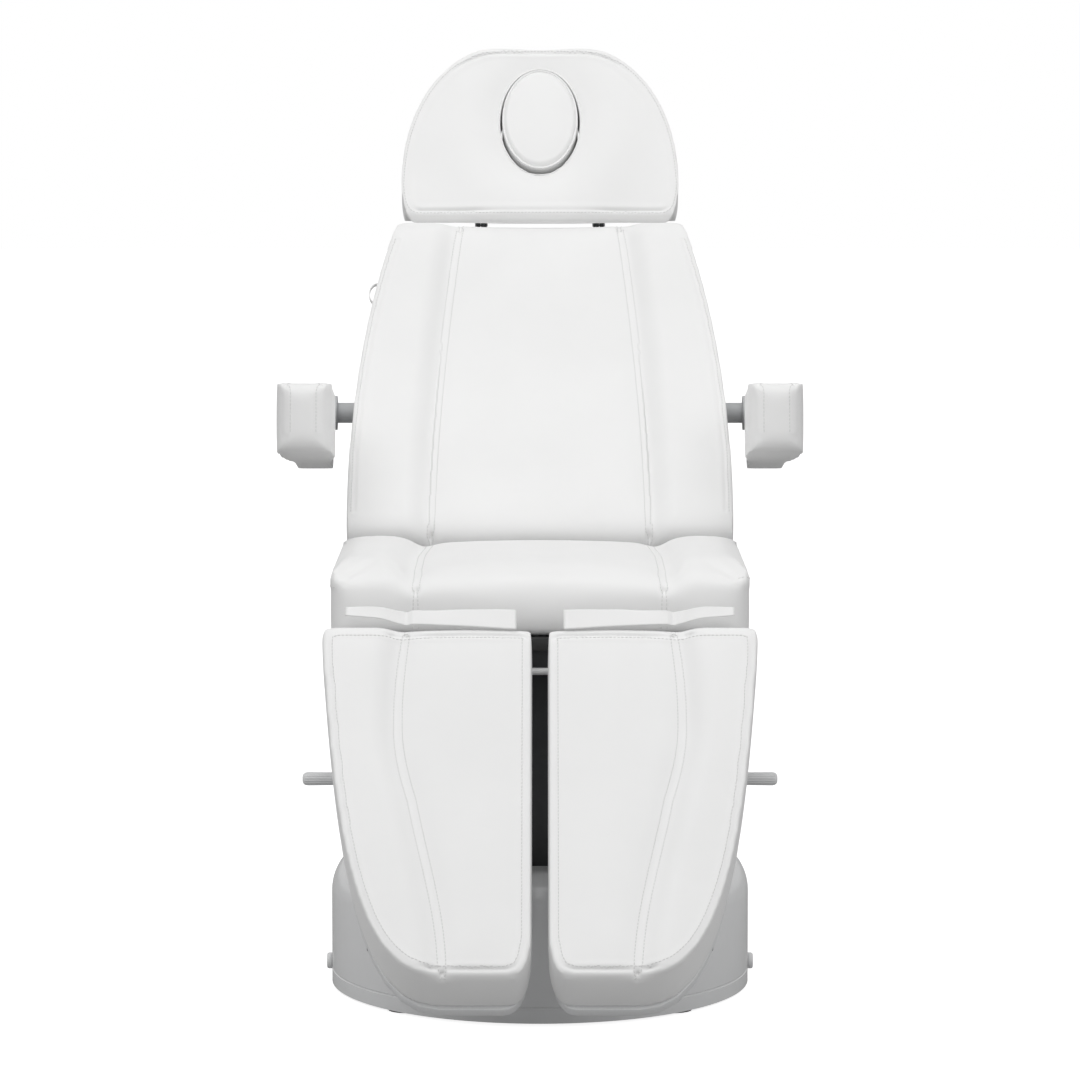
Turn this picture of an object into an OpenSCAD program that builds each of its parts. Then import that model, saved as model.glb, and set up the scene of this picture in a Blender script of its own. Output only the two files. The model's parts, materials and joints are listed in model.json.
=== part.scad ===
// Facial treatment bed with three electric actuators.
// The origin is on the floor under the middle of the base. +Y runs from the feet to the head and
// +Z is up. The parts are drawn as the bed stands with its back raised and its leg rests lowered.
// Profiles of links and plates are drawn as [y, z] and extruded along X.

/* [Seat] */
// Height of the seat above the floor at its lowest
seat_top = 655; // [620:5:720]
// Length of the seat cushion
seat_l = 490; // [450:5:560]
// Width of the seat cushion
seat_w = 600; // [560:5:660]
// Thickness of the seat cushion
seat_t = 105; // [90:5:120]
// Thickness of the board under the seat cushion
seat_board_t = 20; // [15:1:25]
// Place of the seat's front edge
seat_front = -300; // [-330:5:-280]

/* [Back] */
// Length of the back cushion
back_l = 620; // [560:5:680]
// Width of the back cushion at its shoulders
shoulder_w = 464; // [440:4:500]
// Thickness of the back cushion
back_t = 100; // [90:5:110]
// Thickness of the board behind the back cushion
back_board_t = 16; // [12:1:20]
// Angle of the back above level as it stands
back_rest = 50; // [40:1:55]

/* [Head] */
// Length of the head cushion
head_l = 304; // [280:4:330]
// Greatest width of the head cushion
head_w = 444; // [420:4:460]
// Thickness of the head cushion
head_t = 80; // [70:2:90]
// Width of the face hole's plug
plug_w = 122; // [110:2:130]
// Length of the face hole's plug
plug_l = 185; // [170:1:200]
// Angle of the head cushion above the back's plane as it stands
head_rest = 8; // [0:1:12]

/* [Leg rests] */
// Length of each leg cushion
leg_l = 560; // [500:5:600]
// Thickness of each leg cushion
leg_t = 100; // [85:5:110]
// Thickness of the board under each leg cushion
leg_board_t = 18; // [12:1:20]
// Half the gap between the two leg cushions
leg_gap = 11; // [8:1:20]
// Angle of the leg rests below level as they stand
leg_rest = 50; // [40:1:55]
// Travel of each footrest along its guides
foot_travel = 80; // [50:5:90]

/* [Armrests] */
// Length of an armrest pad
arm_pad_l = 445; // [400:5:470]
// Width of an armrest pad at its front
arm_front_w = 85; // [75:1:95]
// Width of an armrest pad at its rear
arm_rear_w = 60; // [50:1:70]
// Height of an armrest pad at its front
arm_front_h = 114; // [100:2:120]
// Height of an armrest pad at its rear
arm_rear_h = 96; // [86:2:100]
// Angle of the pads above level
arm_slope = 9.5; // [0:0.5:15]
// Diameter of the rod that carries an armrest
arm_rod_d = 32; // [26:1:32]

/* [Base] */
// Length of the oval base
base_l = 718; // [690:2:780]
// Width of the oval base
base_w = 620; // [600:2:680]
// Height of the base cover above the floor
cover_top = 210; // [200:2:230]
// Radius of the cover's shoulder
cover_round = 70; // [50:2:80]
// Wall of the base cover
cover_wall = 4; // [3:0.5:5]
// Thickness of the steel base plate
plate_t = 8; // [6:1:12]
// Height of the rubber feet
feet_h = 4; // [3:1:6]

/* [Lift] */
// Distance between the two pivots of a lift arm
lift_arm_l = 370; // [350:5:390]
// Distance between the upper and the lower arm's pivots
link_gap = 85; // [80:1:95]
// Slope of the arms at the lowest position
lift_slope = 3; // [2:1:6]
// Half the distance between the middles of the two arm plates
arm_x = 125; // [122:1:128]
// Thickness of an arm plate
arm_t = 10; // [8:1:10]
// Width of the column's cover
column_w = 292; // [290:1:296]

/* [Fits] */
// Radial clearance of a pin that turns in its bore
run_fit = 0.05; // [0.02:0.01:0.1]
// Radial clearance of a pin that is fixed in its bore
set_fit = 0.02; // [0.01:0.01:0.03]
// Radial clearance of the upper arm's front pivot
open_fit = 0.3; // [0.2:0.1:0.6]
// Radius of the lift arms' pivot pins
pivot_r = 9; // [8:0.5:10]
// Radius of the actuators' pins
pin_r = 6; // [5:0.5:7]
// Radius of the actuators' rods
rod_r = 10; // [8:0.5:11]
// Clearance between a leg runner and its guide tube
slide_gap = 1; // [0.5:0.1:1.5]
// Clearance round the face hole's plug
plug_gap = 1.5; // [1:0.1:3]

/* [Hidden] */
$fn = 64;

// Colours
leatherette = [0.93, 0.93, 0.93];
white_gloss = [0.86, 0.87, 0.88];
frame_grey = [0.33, 0.34, 0.35];
arm_grey = [0.72, 0.73, 0.74];
steel = [0.7, 0.7, 0.72];
black = [0.08, 0.08, 0.08];

// ---- Base ----
plate_z = feet_h + plate_t;
cover_hx = base_w / 2;
cover_hy = base_l / 2;
opening_x = column_w / 2 + 9;
opening_front = -230;
opening_rear = cover_hy - 52;
knob_z = 30;
knob_r = 12;
knob_neck_r = 5;
knob_out = 8;

// Control box beside the lift, on the base plate
box_x = [-270, -170];
box_l = 180;
box_h = 62;

// ---- Lift pivots, as [y, z] ----
arm_foot_low = [cover_hy - 109, 120];
arm_foot_high = arm_foot_low + [0, link_gap];
arm_head_low = arm_foot_low + lift_arm_l * [-cos(lift_slope), sin(lift_slope)];
arm_head_high = arm_head_low + [0, link_gap];
arm_bar_r = 20;
arm_in = arm_x - arm_t / 2;
arm_out = arm_x + arm_t / 2;
bracket_in = arm_out + 4;
bracket_t = 8;
horn_r = 90;
horn_angle = 21;
lift_foot = [arm_foot_low[0] - 450, plate_z + 33];
lift_head = arm_foot_low + horn_r * [-sin(horn_angle), cos(horn_angle)];

// ---- Seat ----
seat_rear = seat_front + seat_l;
seat_board_z = seat_top - seat_t - seat_board_t;
rail_h = 30;
rail_z = seat_board_z - rail_h;
rail_x = seat_w / 2 - 100;
rail_w = 40;
rail_wall = 2.5;
seat_round = 45;
shaft_r = 12;
shaft_at = [arm_head_low[0] + 60, rail_z - 22];
tilt_foot = arm_head_low + [40, 76];
tilt_head = shaft_at + [180, 0];
actuator_x = 36;
carriage_in = arm_in - 12;
carriage_t = 8;
column_front = -185;
column_rear = 185;
column_wall = 4;
column_low = cover_top - 20;
column_top = rail_z - 5;

// ---- Back, in its own frame: s runs up the back from its hinge, z out of its front ----
back_gap = 25;
back_start = 20;
back_end = back_start + back_l;
back_hinge = [seat_rear + back_gap, seat_top - back_t / 2];
back_rail_x = rail_x - 15;
back_rail_w = 30;
back_rail_h = 30;
back_board_start = back_start + 40;
back_board_z = -back_t / 2 - back_board_t;
back_rail_z = back_board_z - back_rail_h;
hinge_r = 16;
hinge_pin_r = 8;
hinge_plate_t = 8;
lever_at = 80 * [cos(-75), sin(-75)];
back_foot = [20, rail_z - 120];
back_head = back_hinge + turned(lever_at, back_rest);
arm_pivot = [344, back_board_z - 1 - arm_rod_d / 2];

// ---- Head, in its own frame: s runs up from its hinge ----
head_hinge_s = back_end + 20;
head_start = 12;
head_lip = 18;
head_front = head_start - head_lip;
head_end = head_start + head_l;
head_board_t = 16;
head_board_start = 40;
head_pin_r = 6;
head_eye_r = 11;
ear_x = 99;
ear_t = 6;
plug_at = head_start + 163;

// ---- Leg rests, in their own frame: v runs down the leg from its hinge, w out of its front ----
leg_hinge = [seat_front + 14, rail_z];
leg_rod_r = 5;
leg_start = 19;
leg_end = leg_start + leg_l;
leg_out = seat_w / 2 + 5;
leg_top_w = seat_top - leg_hinge[1];
leg_low_w = leg_top_w - leg_t;
leg_board_w = leg_low_w - leg_board_t;
guide_x = [120, seat_w / 2 - 75];
guide_size = 25;
guide_wall = 2;
guide_high = leg_board_w - 0.5;
guide_low = guide_high - guide_size + 0.5;
runner_end = leg_end - foot_travel - 34;
runner_foot = 52;
guide_end = runner_end - runner_foot - 13;
lug_w = guide_size + 3;
lever_v = 180;
lever_x = 150;
lever_r = 5;
hub_h = 14;
grip_r = 9.5;
grip_in = seat_w / 2 - 30;
grip_out = seat_w / 2 + 34;
gas_x = 162;
gas_ear_t = 7;
gas_foot = [-60, rail_z - 40];
gas_v = 100;
gas_w = -20;
gas_head = leg_hinge + turned([-gas_v, gas_w], leg_rest);
gas_pin_r = 4;
gas_tube_r = 11;

// ---- Armrests ----
arm_pad_in = seat_w / 2 + 24;
arm_pad_behind = 25;
arm_pad_drop = 40;
flange_r = 27;
arm_world = back_hinge + turned(arm_pivot, back_rest);

// ---- Helpers ----
function turned(p, a) = [p[0] * cos(a) - p[1] * sin(a), p[0] * sin(a) + p[1] * cos(a)];

function arc(c, r, a0, a1, n = 8) =
    [for (i = [0 : n]) c + r * [cos(a0 + (a1 - a0) * i / n), sin(a0 + (a1 - a0) * i / n)]];

function bezier(p, n = 12) = [for (i = [0 : n]) let (t = i / n, u = 1 - t)
    u * u * u * p[0] + 3 * u * u * t * p[1] + 3 * u * t * t * p[2] + t * t * t * p[3]];

function oval(hx, hy, n = 96) = [for (i = [0 : n - 1]) [hx * cos(360 * i / n), hy * sin(360 * i / n)]];

function rounded(x0, x1, y0, y1, r) = concat(
    arc([x1 - r, y1 - r], r, 0, 90), arc([x0 + r, y1 - r], r, 90, 180),
    arc([x0 + r, y0 + r], r, 180, 270), arc([x1 - r, y0 + r], r, 270, 360));

function mirrored(points) = concat(points, [for (i = [len(points) - 1 : -1 : 0]) [-points[i][0], points[i][1]]]);

// A [y, z] profile extruded from x0 to x1
module across(x0, x1) {
    translate([x0, 0, 0]) rotate([90, 0, 90]) linear_extrude(x1 - x0) children();
}

// A cylinder along X round the point [y, z]
module along_x(x0, x1, at, r) {
    translate([x0, at[0], at[1]]) rotate([0, 90, 0]) cylinder(h = x1 - x0, r = r);
}

module block(x0, x1, y0, y1, z0, z1) {
    translate([x0, y0, z0]) cube([x1 - x0, y1 - y0, z1 - z0]);
}

// A square tube along Y, open at both ends
module tube_y(x0, x1, y0, y1, z0, z1, wall) {
    difference() {
        block(x0, x1, y0, y1, z0, z1);
        block(x0 + wall, x1 - wall, y0 - 1, y1 + 1, z0 + wall, z1 - wall);
    }
}

// Outline of a flat link with round ends
module link(p, q, r) {
    n = r * [p[1] - q[1], q[0] - p[0]] / norm(q - p);
    translate(p) circle(r);
    translate(q) circle(r);
    polygon([p + n, q + n, q - n, p - n]);
}

// The inside of a cross tube, which opens into the tubes at its ends
module hollow(half, y, z0, z1) {
    block(-half, half, y + rail_wall, y + cross_w - rail_wall, z0 + rail_wall, z1 - rail_wall);
}

module both_sides() {
    children();
    mirror([1, 0, 0]) children();
}

module on_side(side) {
    if (side < 0) mirror([1, 0, 0]) children();
    else children();
}

module at_back() {
    translate([0, back_hinge[0], back_hinge[1]]) rotate([back_rest, 0, 0]) children();
}

module at_head() {
    at_back() translate([0, head_hinge_s, 0]) rotate([head_rest, 0, 0]) children();
}

// The leg rest's frame, turned so that v runs along -Y
module at_leg() {
    translate([0, leg_hinge[0], leg_hinge[1]]) rotate([leg_rest, 0, 0]) children();
}

module at_arm() {
    translate([0, arm_world[0], arm_world[1]]) rotate([-arm_slope, 0, 0]) children();
}

// The frame of an actuator: +Y points from p to q
module aim(x, p, q) {
    translate([x, p[0], p[1]]) rotate([atan2(q[1] - p[1], q[0] - p[0]), 0, 0]) children();
}

// ---- Actuators ----
eye_r = 16;
eye_t = 18;
rod_eye_t = 12;
box_from = 34;
box_to = 80;
box_half = 22;
tube_r = 18;
motor_r = 20;
motor_x = 44;
motor_l = 105;
clevis_in = 11;
clevis_t = 6;
clevis_out = clevis_in + clevis_t;
// Length of each tube and rod, radius of the rod's eye and what its bore adds to the pin's radius
lift_parts = [395, 190, 18, 4.3];
tilt_parts = [245, 150, 15, 1];
back_parts = [212, 170, 25, 11];
gas_parts = [219, 168, 13.5, 5];

// Housing with its rear eye, gearbox, tube and motor; side is the motor's side
module actuator_housing(x, foot, head, sizes, side) {
    tube_l = sizes[0];
    aim(x, foot, head) difference() {
        union() {
            across(-eye_t / 2, eye_t / 2) link([0, 0], [box_from + 4, 0], eye_r);
            on_side(side) block(-box_half, motor_x + motor_r, box_from, box_to, -box_half, box_half);
            translate([0, box_to - 1, 0]) rotate([-90, 0, 0]) cylinder(h = tube_l - box_to + 1, r = tube_r);
            translate([side * motor_x, box_to - 1, 0]) rotate([-90, 0, 0]) cylinder(h = motor_l, r = motor_r);
        }
        along_x(-eye_t, eye_t, [0, 0], pin_r + run_fit);
        translate([0, box_to + 4, 0]) rotate([-90, 0, 0]) cylinder(h = tube_l, r = rod_r + run_fit * 2);
    }
}

// Rod with its eye, whose bore is open enough for the pivot's play
module actuator_rod(x, foot, head, sizes, r, pin) {
    l = norm(head - foot);
    rod_l = sizes[1];
    aim(x, foot, head) difference() {
        union() {
            translate([0, l - rod_l, 0]) rotate([-90, 0, 0]) cylinder(h = rod_l, r = r);
            along_x(-rod_eye_t / 2, rod_eye_t / 2, [l, 0], sizes[2]);
        }
        along_x(-3 * r, 3 * r, [l, 0], pin + sizes[3]);
    }
}

// Two ears of a clevis at x, joined to what they stand on at root
module clevis_ears(x, at, root, r) {
    for (s = [-1, 1])
        across(x + s * (clevis_in + clevis_t / 2) - clevis_t / 2, x + s * (clevis_in + clevis_t / 2) + clevis_t / 2)
            link(at, root, r);
}

module clevis_pin(x, at) {
    along_x(x - clevis_out - 2, x + clevis_out + 2, at, pin_r);
}

// ---- Base ----
module base_outline(inset) {
    polygon(oval(cover_hx - inset, cover_hy - inset));
}

module base_plate() {
    color(frame_grey) translate([0, 0, feet_h]) linear_extrude(plate_t) base_outline(cover_wall + 2);
}

feet_x = 190;
feet_y = 230;

module base_feet() {
    color(black) {
        cylinder(h = feet_h, r = 40);
        for (x = [-feet_x, feet_x], y = [-feet_y, feet_y]) translate([x, y, 0]) cylinder(h = feet_h, r = 30);
    }
}

// Solid of the cover's outer or inner surface: rings from the floor up over the rounded shoulder
module cover_dome(inset, low) {
    n = 72;
    rings = concat([[inset, low]], [for (a = [0 : 10 : 90])
        [cover_round - (cover_round - inset) * cos(a), cover_top - cover_round + (cover_round - inset) * sin(a)]]);
    points = [for (ring = rings) for (p = oval(cover_hx - ring[0], cover_hy - ring[0], n)) [p[0], p[1], ring[1]]];
    sides = [for (k = [0 : len(rings) - 2], i = [0 : n - 1])
        [k * n + i, (k + 1) * n + i, (k + 1) * n + (i + 1) % n, k * n + (i + 1) % n]];
    caps = [[for (i = [0 : n - 1]) i], [for (i = [n - 1 : -1 : 0]) (len(rings) - 1) * n + i]];
    polyhedron(points, concat(sides, caps));
}

inlet_x = 24;
inlet_z0 = 40;
inlet_z1 = 74;

module base_cover() {
    color(white_gloss) difference() {
        cover_dome(0, feet_h);
        cover_dome(cover_wall, feet_h - 1);
        translate([0, 0, cover_top - 30]) linear_extrude(60)
            polygon(rounded(-opening_x, opening_x, opening_front, opening_rear, 30));
        translate([-cover_hx - 20, 0, knob_z]) rotate([0, 90, 0])
            cylinder(h = 2 * cover_hx + 40, r = knob_neck_r + 0.5);
        block(-inlet_x - 0.5, inlet_x + 0.5, cover_hy - 20, cover_hy + 20, inlet_z0 - 0.5, inlet_z1 + 0.5);
    }
}

module cover_knobs() {
    color(white_gloss) both_sides() {
        along_x(cover_hx + 0.3, cover_hx + knob_out, [0, knob_z], knob_r);
        along_x(cover_hx - cover_wall - 12, cover_hx + 1, [0, knob_z], knob_neck_r);
    }
}

module base_brackets() {
    color(frame_grey) both_sides() difference() {
        union() {
            across(bracket_in, bracket_in + bracket_t) polygon([
                [arm_foot_low[0] - 45, plate_z], [arm_foot_low[0] + 44, plate_z],
                [arm_foot_low[0] + 25, arm_foot_high[1] + 20], [arm_foot_low[0] - 25, arm_foot_high[1] + 20]]);
            block(bracket_in, bracket_in + 34, arm_foot_low[0] - 45, arm_foot_low[0] + 36, plate_z, plate_z + 6);
        }
        along_x(bracket_in - 1, bracket_in + bracket_t + 1, arm_foot_low, pivot_r + set_fit);
        along_x(bracket_in - 1, bracket_in + bracket_t + 1, arm_foot_high, pivot_r + set_fit);
    }
}

module lift_clevis() {
    color(frame_grey) difference() {
        union() {
            clevis_ears(0, lift_foot, [lift_foot[0], plate_z + eye_r], eye_r);
            block(-clevis_out, clevis_out, lift_foot[0] - 30, lift_foot[0] + 24, plate_z, plate_z + 6);
        }
        along_x(-30, 30, lift_foot, pin_r + set_fit);
    }
}

module base_pivot_pins() {
    color(steel) {
        both_sides() for (at = [arm_foot_low, arm_foot_high]) {
            along_x(arm_in - 2, bracket_in + bracket_t, at, pivot_r);
            along_x(bracket_in + bracket_t, bracket_in + bracket_t + 4, at, pivot_r + 5);
        }
        clevis_pin(0, lift_foot);
    }
}

module control_box() {
    color(black) translate([0, 0, plate_z]) linear_extrude(box_h) polygon(rounded(box_x[0], box_x[1], -box_l / 2, box_l / 2, 8));
}

module power_inlet() {
    color(black) difference() {
        block(-inlet_x, inlet_x, cover_hy - 40, cover_hy + 1, inlet_z0, inlet_z1);
        block(-14, 14, cover_hy - 18, cover_hy + 2, inlet_z0 + 8, inlet_z1 - 8);
    }
}

// ---- Lift ----
torsion_r = 22;

module lower_arm() {
    color(frame_grey) difference() {
        union() {
            both_sides() across(arm_in, arm_out) link(arm_foot_low, arm_head_low, arm_bar_r);
            difference() {
                along_x(-arm_in - 1, arm_in + 1, arm_foot_low, torsion_r);
                along_x(-arm_in - 2, arm_in + 2, arm_foot_low, torsion_r - 6);
            }
            difference() {
                clevis_ears(0, lift_head, arm_foot_low, eye_r);
                along_x(-30, 30, arm_foot_low, torsion_r - 3);
            }
            clevis_pin(0, lift_head);
        }
        along_x(-arm_out - 1, arm_out + 1, arm_foot_low, pivot_r + run_fit);
        along_x(-arm_out - 1, arm_out + 1, arm_head_low, pivot_r + run_fit);
    }
}

module upper_arm() {
    middle = (arm_foot_high + arm_head_high) / 2;
    color(frame_grey) difference() {
        union() {
            both_sides() across(arm_in, arm_out) link(arm_foot_high, arm_head_high, arm_bar_r);
            along_x(-arm_in - 1, arm_in + 1, middle, 12);
        }
        along_x(-arm_out - 1, arm_out + 1, arm_foot_high, pivot_r + run_fit);
        along_x(-arm_out - 1, arm_out + 1, arm_head_high, pivot_r + open_fit);
    }
}

carriage_front = arm_head_low[0] - 30;

module carriage_frame() {
    low = arm_head_low[1] - 29;
    color(frame_grey) difference() {
        union() {
            both_sides() across(carriage_in, carriage_in + carriage_t) polygon([
                [carriage_front, low], [arm_head_low[0] + 30, low],
                [arm_head_low[0] + 34, arm_head_high[1] + 40], [shaft_at[0] + 40, shaft_at[1] - 60],
                [shaft_at[0] + 34, shaft_at[1] + 14], [shaft_at[0] - 34, shaft_at[1] + 14],
                [carriage_front, shaft_at[1] - 120]]);
            block(-carriage_in - 1, carriage_in + 1, carriage_front, carriage_front + 8, 200, 340);
            for (s = [-1, 1]) across(-actuator_x + s * 14 - 3, -actuator_x + s * 14 + 3)
                link(tilt_foot, [carriage_front + 14, tilt_foot[1] + 6], 15);
            for (x = [-70, 70], z = [225, 315]) translate([x, column_front + column_wall, z])
                rotate([-90, 0, 0]) cylinder(h = carriage_front - column_front - column_wall + 1, r = 8);
        }
        for (at = [arm_head_low, arm_head_high])
            along_x(-carriage_in - 20, carriage_in + 20, at, pivot_r + set_fit);
        along_x(-carriage_in - 20, carriage_in + 20, shaft_at, shaft_r + run_fit);
        along_x(-actuator_x - 20, -actuator_x + 20, tilt_foot, pin_r + set_fit);
    }
}

module column_cover() {
    hx = column_w / 2;
    color(frame_grey) difference() {
        translate([0, 0, column_low]) linear_extrude(column_top - column_low) difference() {
            polygon(rounded(-hx, hx, column_front, column_rear + 40, 16));
            polygon(rounded(-hx + column_wall, hx - column_wall, column_front + column_wall, column_rear + 60, 12));
            translate([-hx - 1, column_rear]) square([2 * hx + 2, 60]);
        }
        across(-hx - 1, hx + 1) polygon([[20, column_top + 1], [20, column_top], [90, column_top - 55],
            [column_rear + 1, column_top - 95], [column_rear + 1, column_top + 1]]);
    }
}

module carriage_pivot_pins() {
    color(steel) {
        both_sides() for (at = [arm_head_low, arm_head_high]) {
            along_x(carriage_in - 4, arm_out + 5, at, pivot_r);
            along_x(carriage_in - 4, carriage_in, at, pivot_r + 5);
            along_x(arm_out + 1, arm_out + 5, at, pivot_r + 4);
        }
        clevis_pin(-actuator_x, tilt_foot);
    }
}

module lift_actuator() {
    color(black) actuator_housing(0, lift_foot, lift_head, lift_parts, 1);
}

module lift_rod() {
    color(steel) actuator_rod(0, lift_foot, lift_head, lift_parts, rod_r, pin_r);
}

module tilt_actuator() {
    color(black) actuator_housing(-actuator_x, tilt_foot, tilt_head, tilt_parts, -1);
}

module tilt_rod() {
    color(steel) actuator_rod(-actuator_x, tilt_foot, tilt_head, tilt_parts, rod_r, pin_r);
}

// ---- Seat ----
cross_front = seat_front + 38;
cross_mid = seat_front + 135;
cross_back = -15;
cross_rear = tilt_head[0] - 15;
cross_w = 30;

module seat_frame() {
    color(frame_grey) difference() {
        union() {
            both_sides() {
                tube_y(rail_x - rail_w / 2, rail_x + rail_w / 2, seat_front + 35, seat_rear,
                    rail_z, seat_board_z, rail_wall);
                tube_y(arm_in - 2, arm_out, cross_mid + 1, cross_rear + cross_w - 1,
                    rail_z, seat_board_z, rail_wall);
                across(arm_in, arm_in + 8) link(shaft_at, shaft_at + [0, 30], 22);
                across(rail_x - rail_w / 2 + 1 - gas_ear_t, rail_x - rail_w / 2 + 1)
                    link(gas_foot, [gas_foot[0], rail_z + 10], 14);
                across(rail_x - 4, rail_x + 4) link(leg_hinge, [seat_front + 45, rail_z + 12], 12);
                across(rail_x - 10, rail_x - 2) {
                    polygon([[seat_rear - 40, rail_z], [back_hinge[0], rail_z],
                        [back_hinge[0] + hinge_r, rail_z + 20], [back_hinge[0] + hinge_r, back_hinge[1]],
                        [back_hinge[0] - hinge_r, back_hinge[1]], [back_hinge[0] - hinge_r, seat_board_z],
                        [seat_rear - 40, seat_board_z]]);
                    translate(back_hinge) circle(hinge_r);
                }
            }
            for (y = [cross_front, cross_mid, cross_rear])
                block(-rail_x + 10, rail_x - 10, y, y + cross_w, rail_z, seat_board_z);
            block(-arm_in, arm_in, cross_back, cross_back + cross_w, rail_z, seat_board_z);
            clevis_ears(actuator_x, back_foot, [cross_back + cross_w / 2, rail_z + 10], eye_r);
            clevis_ears(-actuator_x, tilt_head, [tilt_head[0], rail_z + 10], eye_r - 1);
        }
        for (y = [cross_front, cross_mid, cross_rear])
            hollow(rail_x - rail_w / 2 + rail_wall + 2, y, rail_z, seat_board_z);
        hollow(arm_in, cross_back, rail_z, seat_board_z);
        along_x(-rail_x, rail_x, shaft_at, shaft_r + set_fit);
        along_x(-rail_x - 10, rail_x + 10, leg_hinge, leg_rod_r + set_fit);
        along_x(-rail_x - 10, rail_x + 10, back_hinge, hinge_pin_r + set_fit);
        along_x(-rail_x + rail_w / 2, rail_x - rail_w / 2, gas_foot, gas_pin_r + set_fit);
        along_x(0, 2 * actuator_x, back_foot, pin_r + set_fit);
        along_x(-2 * actuator_x, 0, tilt_head, pin_r + set_fit);
    }
}

module seat_board() {
    color(black) translate([0, 0, seat_board_z]) linear_extrude(seat_board_t)
        polygon(rounded(-seat_w / 2 + 10, seat_w / 2 - 10, seat_front + 4, seat_rear - 8, 30));
}

module seat_cushion() {
    low = seat_top - seat_t;
    color(leatherette) intersection() {
        translate([0, 0, low]) linear_extrude(seat_t)
            polygon(rounded(-seat_w / 2, seat_w / 2, seat_front, seat_rear, 40));
        across(-seat_w / 2 - 1, seat_w / 2 + 1) polygon(concat(
            arc([seat_rear - seat_round, seat_top - seat_round], seat_round, 0, 90),
            arc([seat_front + seat_round, seat_top - seat_round], seat_round, 90, 180),
            arc([seat_front + 30, low + 30], 30, 180, 270), arc([seat_rear - 30, low + 30], 30, 270, 360)));
    }
}

module leg_hinge_rod() {
    color(white_gloss) along_x(-rail_x - 50, rail_x + 50, leg_hinge, leg_rod_r);
}

module tilt_shaft() {
    color(steel) along_x(-arm_out - 2, arm_out + 2, shaft_at, shaft_r);
}

module seat_pivot_pins() {
    color(steel) {
        clevis_pin(actuator_x, back_foot);
        clevis_pin(-actuator_x, tilt_head);
        both_sides() {
            along_x(gas_x - 9, rail_x - rail_w / 2 - 0.5, gas_foot, gas_pin_r);
            along_x(rail_x - 13, rail_x + 11, back_hinge, hinge_pin_r);
        }
    }
}

module back_actuator() {
    color(black) actuator_housing(actuator_x, back_foot, back_head, back_parts, 1);
}

module back_rod() {
    color(steel) actuator_rod(actuator_x, back_foot, back_head, back_parts, rod_r, pin_r);
}

// ---- Back ----
// Half outline of the back cushion from its lower end to its upper end, as [x, s]
function back_side(inset, start) = concat(
    [[seat_w / 2 - 4 - inset - 12, start]],
    bezier([[seat_w / 2 - 4 - inset, start + 12], [seat_w / 2 - inset, 220],
        [seat_w / 2 - 17 - inset, 430], [shoulder_w / 2 - inset, back_end - 28]]),
    bezier([[shoulder_w / 2 - inset, back_end - 28], [shoulder_w / 2 - 4 - inset, back_end - 12],
        [shoulder_w / 2 - 14 - inset, back_end - inset], [shoulder_w / 2 - 34 - inset, back_end - inset]], 6));

module back_plan(inset, start) {
    polygon(mirrored(back_side(inset, start)));
}

back_beams = [back_board_start, arm_pivot[0] - 15, back_end - 80];

module back_frame() {
    outer = back_rail_x + back_rail_w / 2;
    high = back_rail_z + back_rail_h;
    color(frame_grey) at_back() difference() {
        union() {
            both_sides() {
                tube_y(back_rail_x - back_rail_w / 2, outer, back_start + 5, back_end - 40,
                    back_rail_z, high, rail_wall);
                across(outer - 1, outer + hinge_plate_t) {
                    circle(hinge_r);
                    polygon([[-hinge_r, 0], [-hinge_r, back_rail_z + 12], [-hinge_r + 12, back_rail_z],
                        [70, back_rail_z], [70, high - 2], [hinge_r, high - 2], [hinge_r, 0]]);
                }
                across(ear_x - ear_t / 2, ear_x + ear_t / 2) {
                    translate([head_hinge_s, 0]) circle(head_eye_r);
                    translate([head_hinge_s - head_eye_r, back_rail_z]) square([2 * head_eye_r, -back_rail_z]);
                    translate([back_end - 70, back_rail_z]) square([head_hinge_s - back_end + 70, 20]);
                }
            }
            for (s = back_beams)
                block(-back_rail_x + 14, back_rail_x - 14, s, s + cross_w, back_rail_z, high);
            clevis_ears(actuator_x, lever_at, [lever_at[0] + 50, back_rail_z + 15], 13);
        }
        for (s = back_beams)
            hollow(back_rail_x - back_rail_w / 2 + rail_wall + 2, s, back_rail_z, high);
        along_x(-outer - 20, outer + 20, [0, 0], hinge_pin_r + run_fit);
        along_x(-ear_x - 10, ear_x + 10, [head_hinge_s, 0], head_pin_r + set_fit);
        along_x(0, 2 * actuator_x, lever_at, pin_r + set_fit);
    }
}

module back_board() {
    color(black) at_back() translate([0, 0, back_board_z]) linear_extrude(back_board_t) intersection() {
        back_plan(14, back_board_start);
        translate([-seat_w, 0]) square([2 * seat_w, back_end - 20]);
    }
}

module back_cushion() {
    r = back_t / 2;
    color(leatherette) at_back() intersection() {
        translate([0, 0, -r]) linear_extrude(back_t) back_plan(0, back_start);
        across(-seat_w, seat_w) polygon(concat(
            arc([back_end - 45, r - 45], 45, 0, 90), arc([back_start + r, 0], r, 90, 270, 16),
            arc([back_end - 45, 45 - r], 45, 270, 360)));
    }
}

module armrest_sockets() {
    outer = back_rail_x + back_rail_w / 2;
    color(frame_grey) at_back() both_sides() difference() {
        block(outer, outer + 26, arm_pivot[0] - 21, arm_pivot[0] + 21,
            arm_pivot[1] - arm_rod_d / 2 - 6, back_board_z - 0.5);
        along_x(outer - 1, outer + 30, arm_pivot, arm_rod_d / 2 + run_fit);
    }
}

module back_lever_pin() {
    color(steel) at_back() clevis_pin(actuator_x, lever_at);
}

// Loop of tape in the seam at the left edge of the back
tab_s = 474;
tab_l = 42;
tab_x = lookup(tab_s, [for (p = back_side(0, back_start)) [p[1], p[0]]]) + 0.6;

module side_tab() {
    color(leatherette) at_back() block(-tab_x - 2, -tab_x, tab_s, tab_s + tab_l, 24, 30);
}

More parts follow.
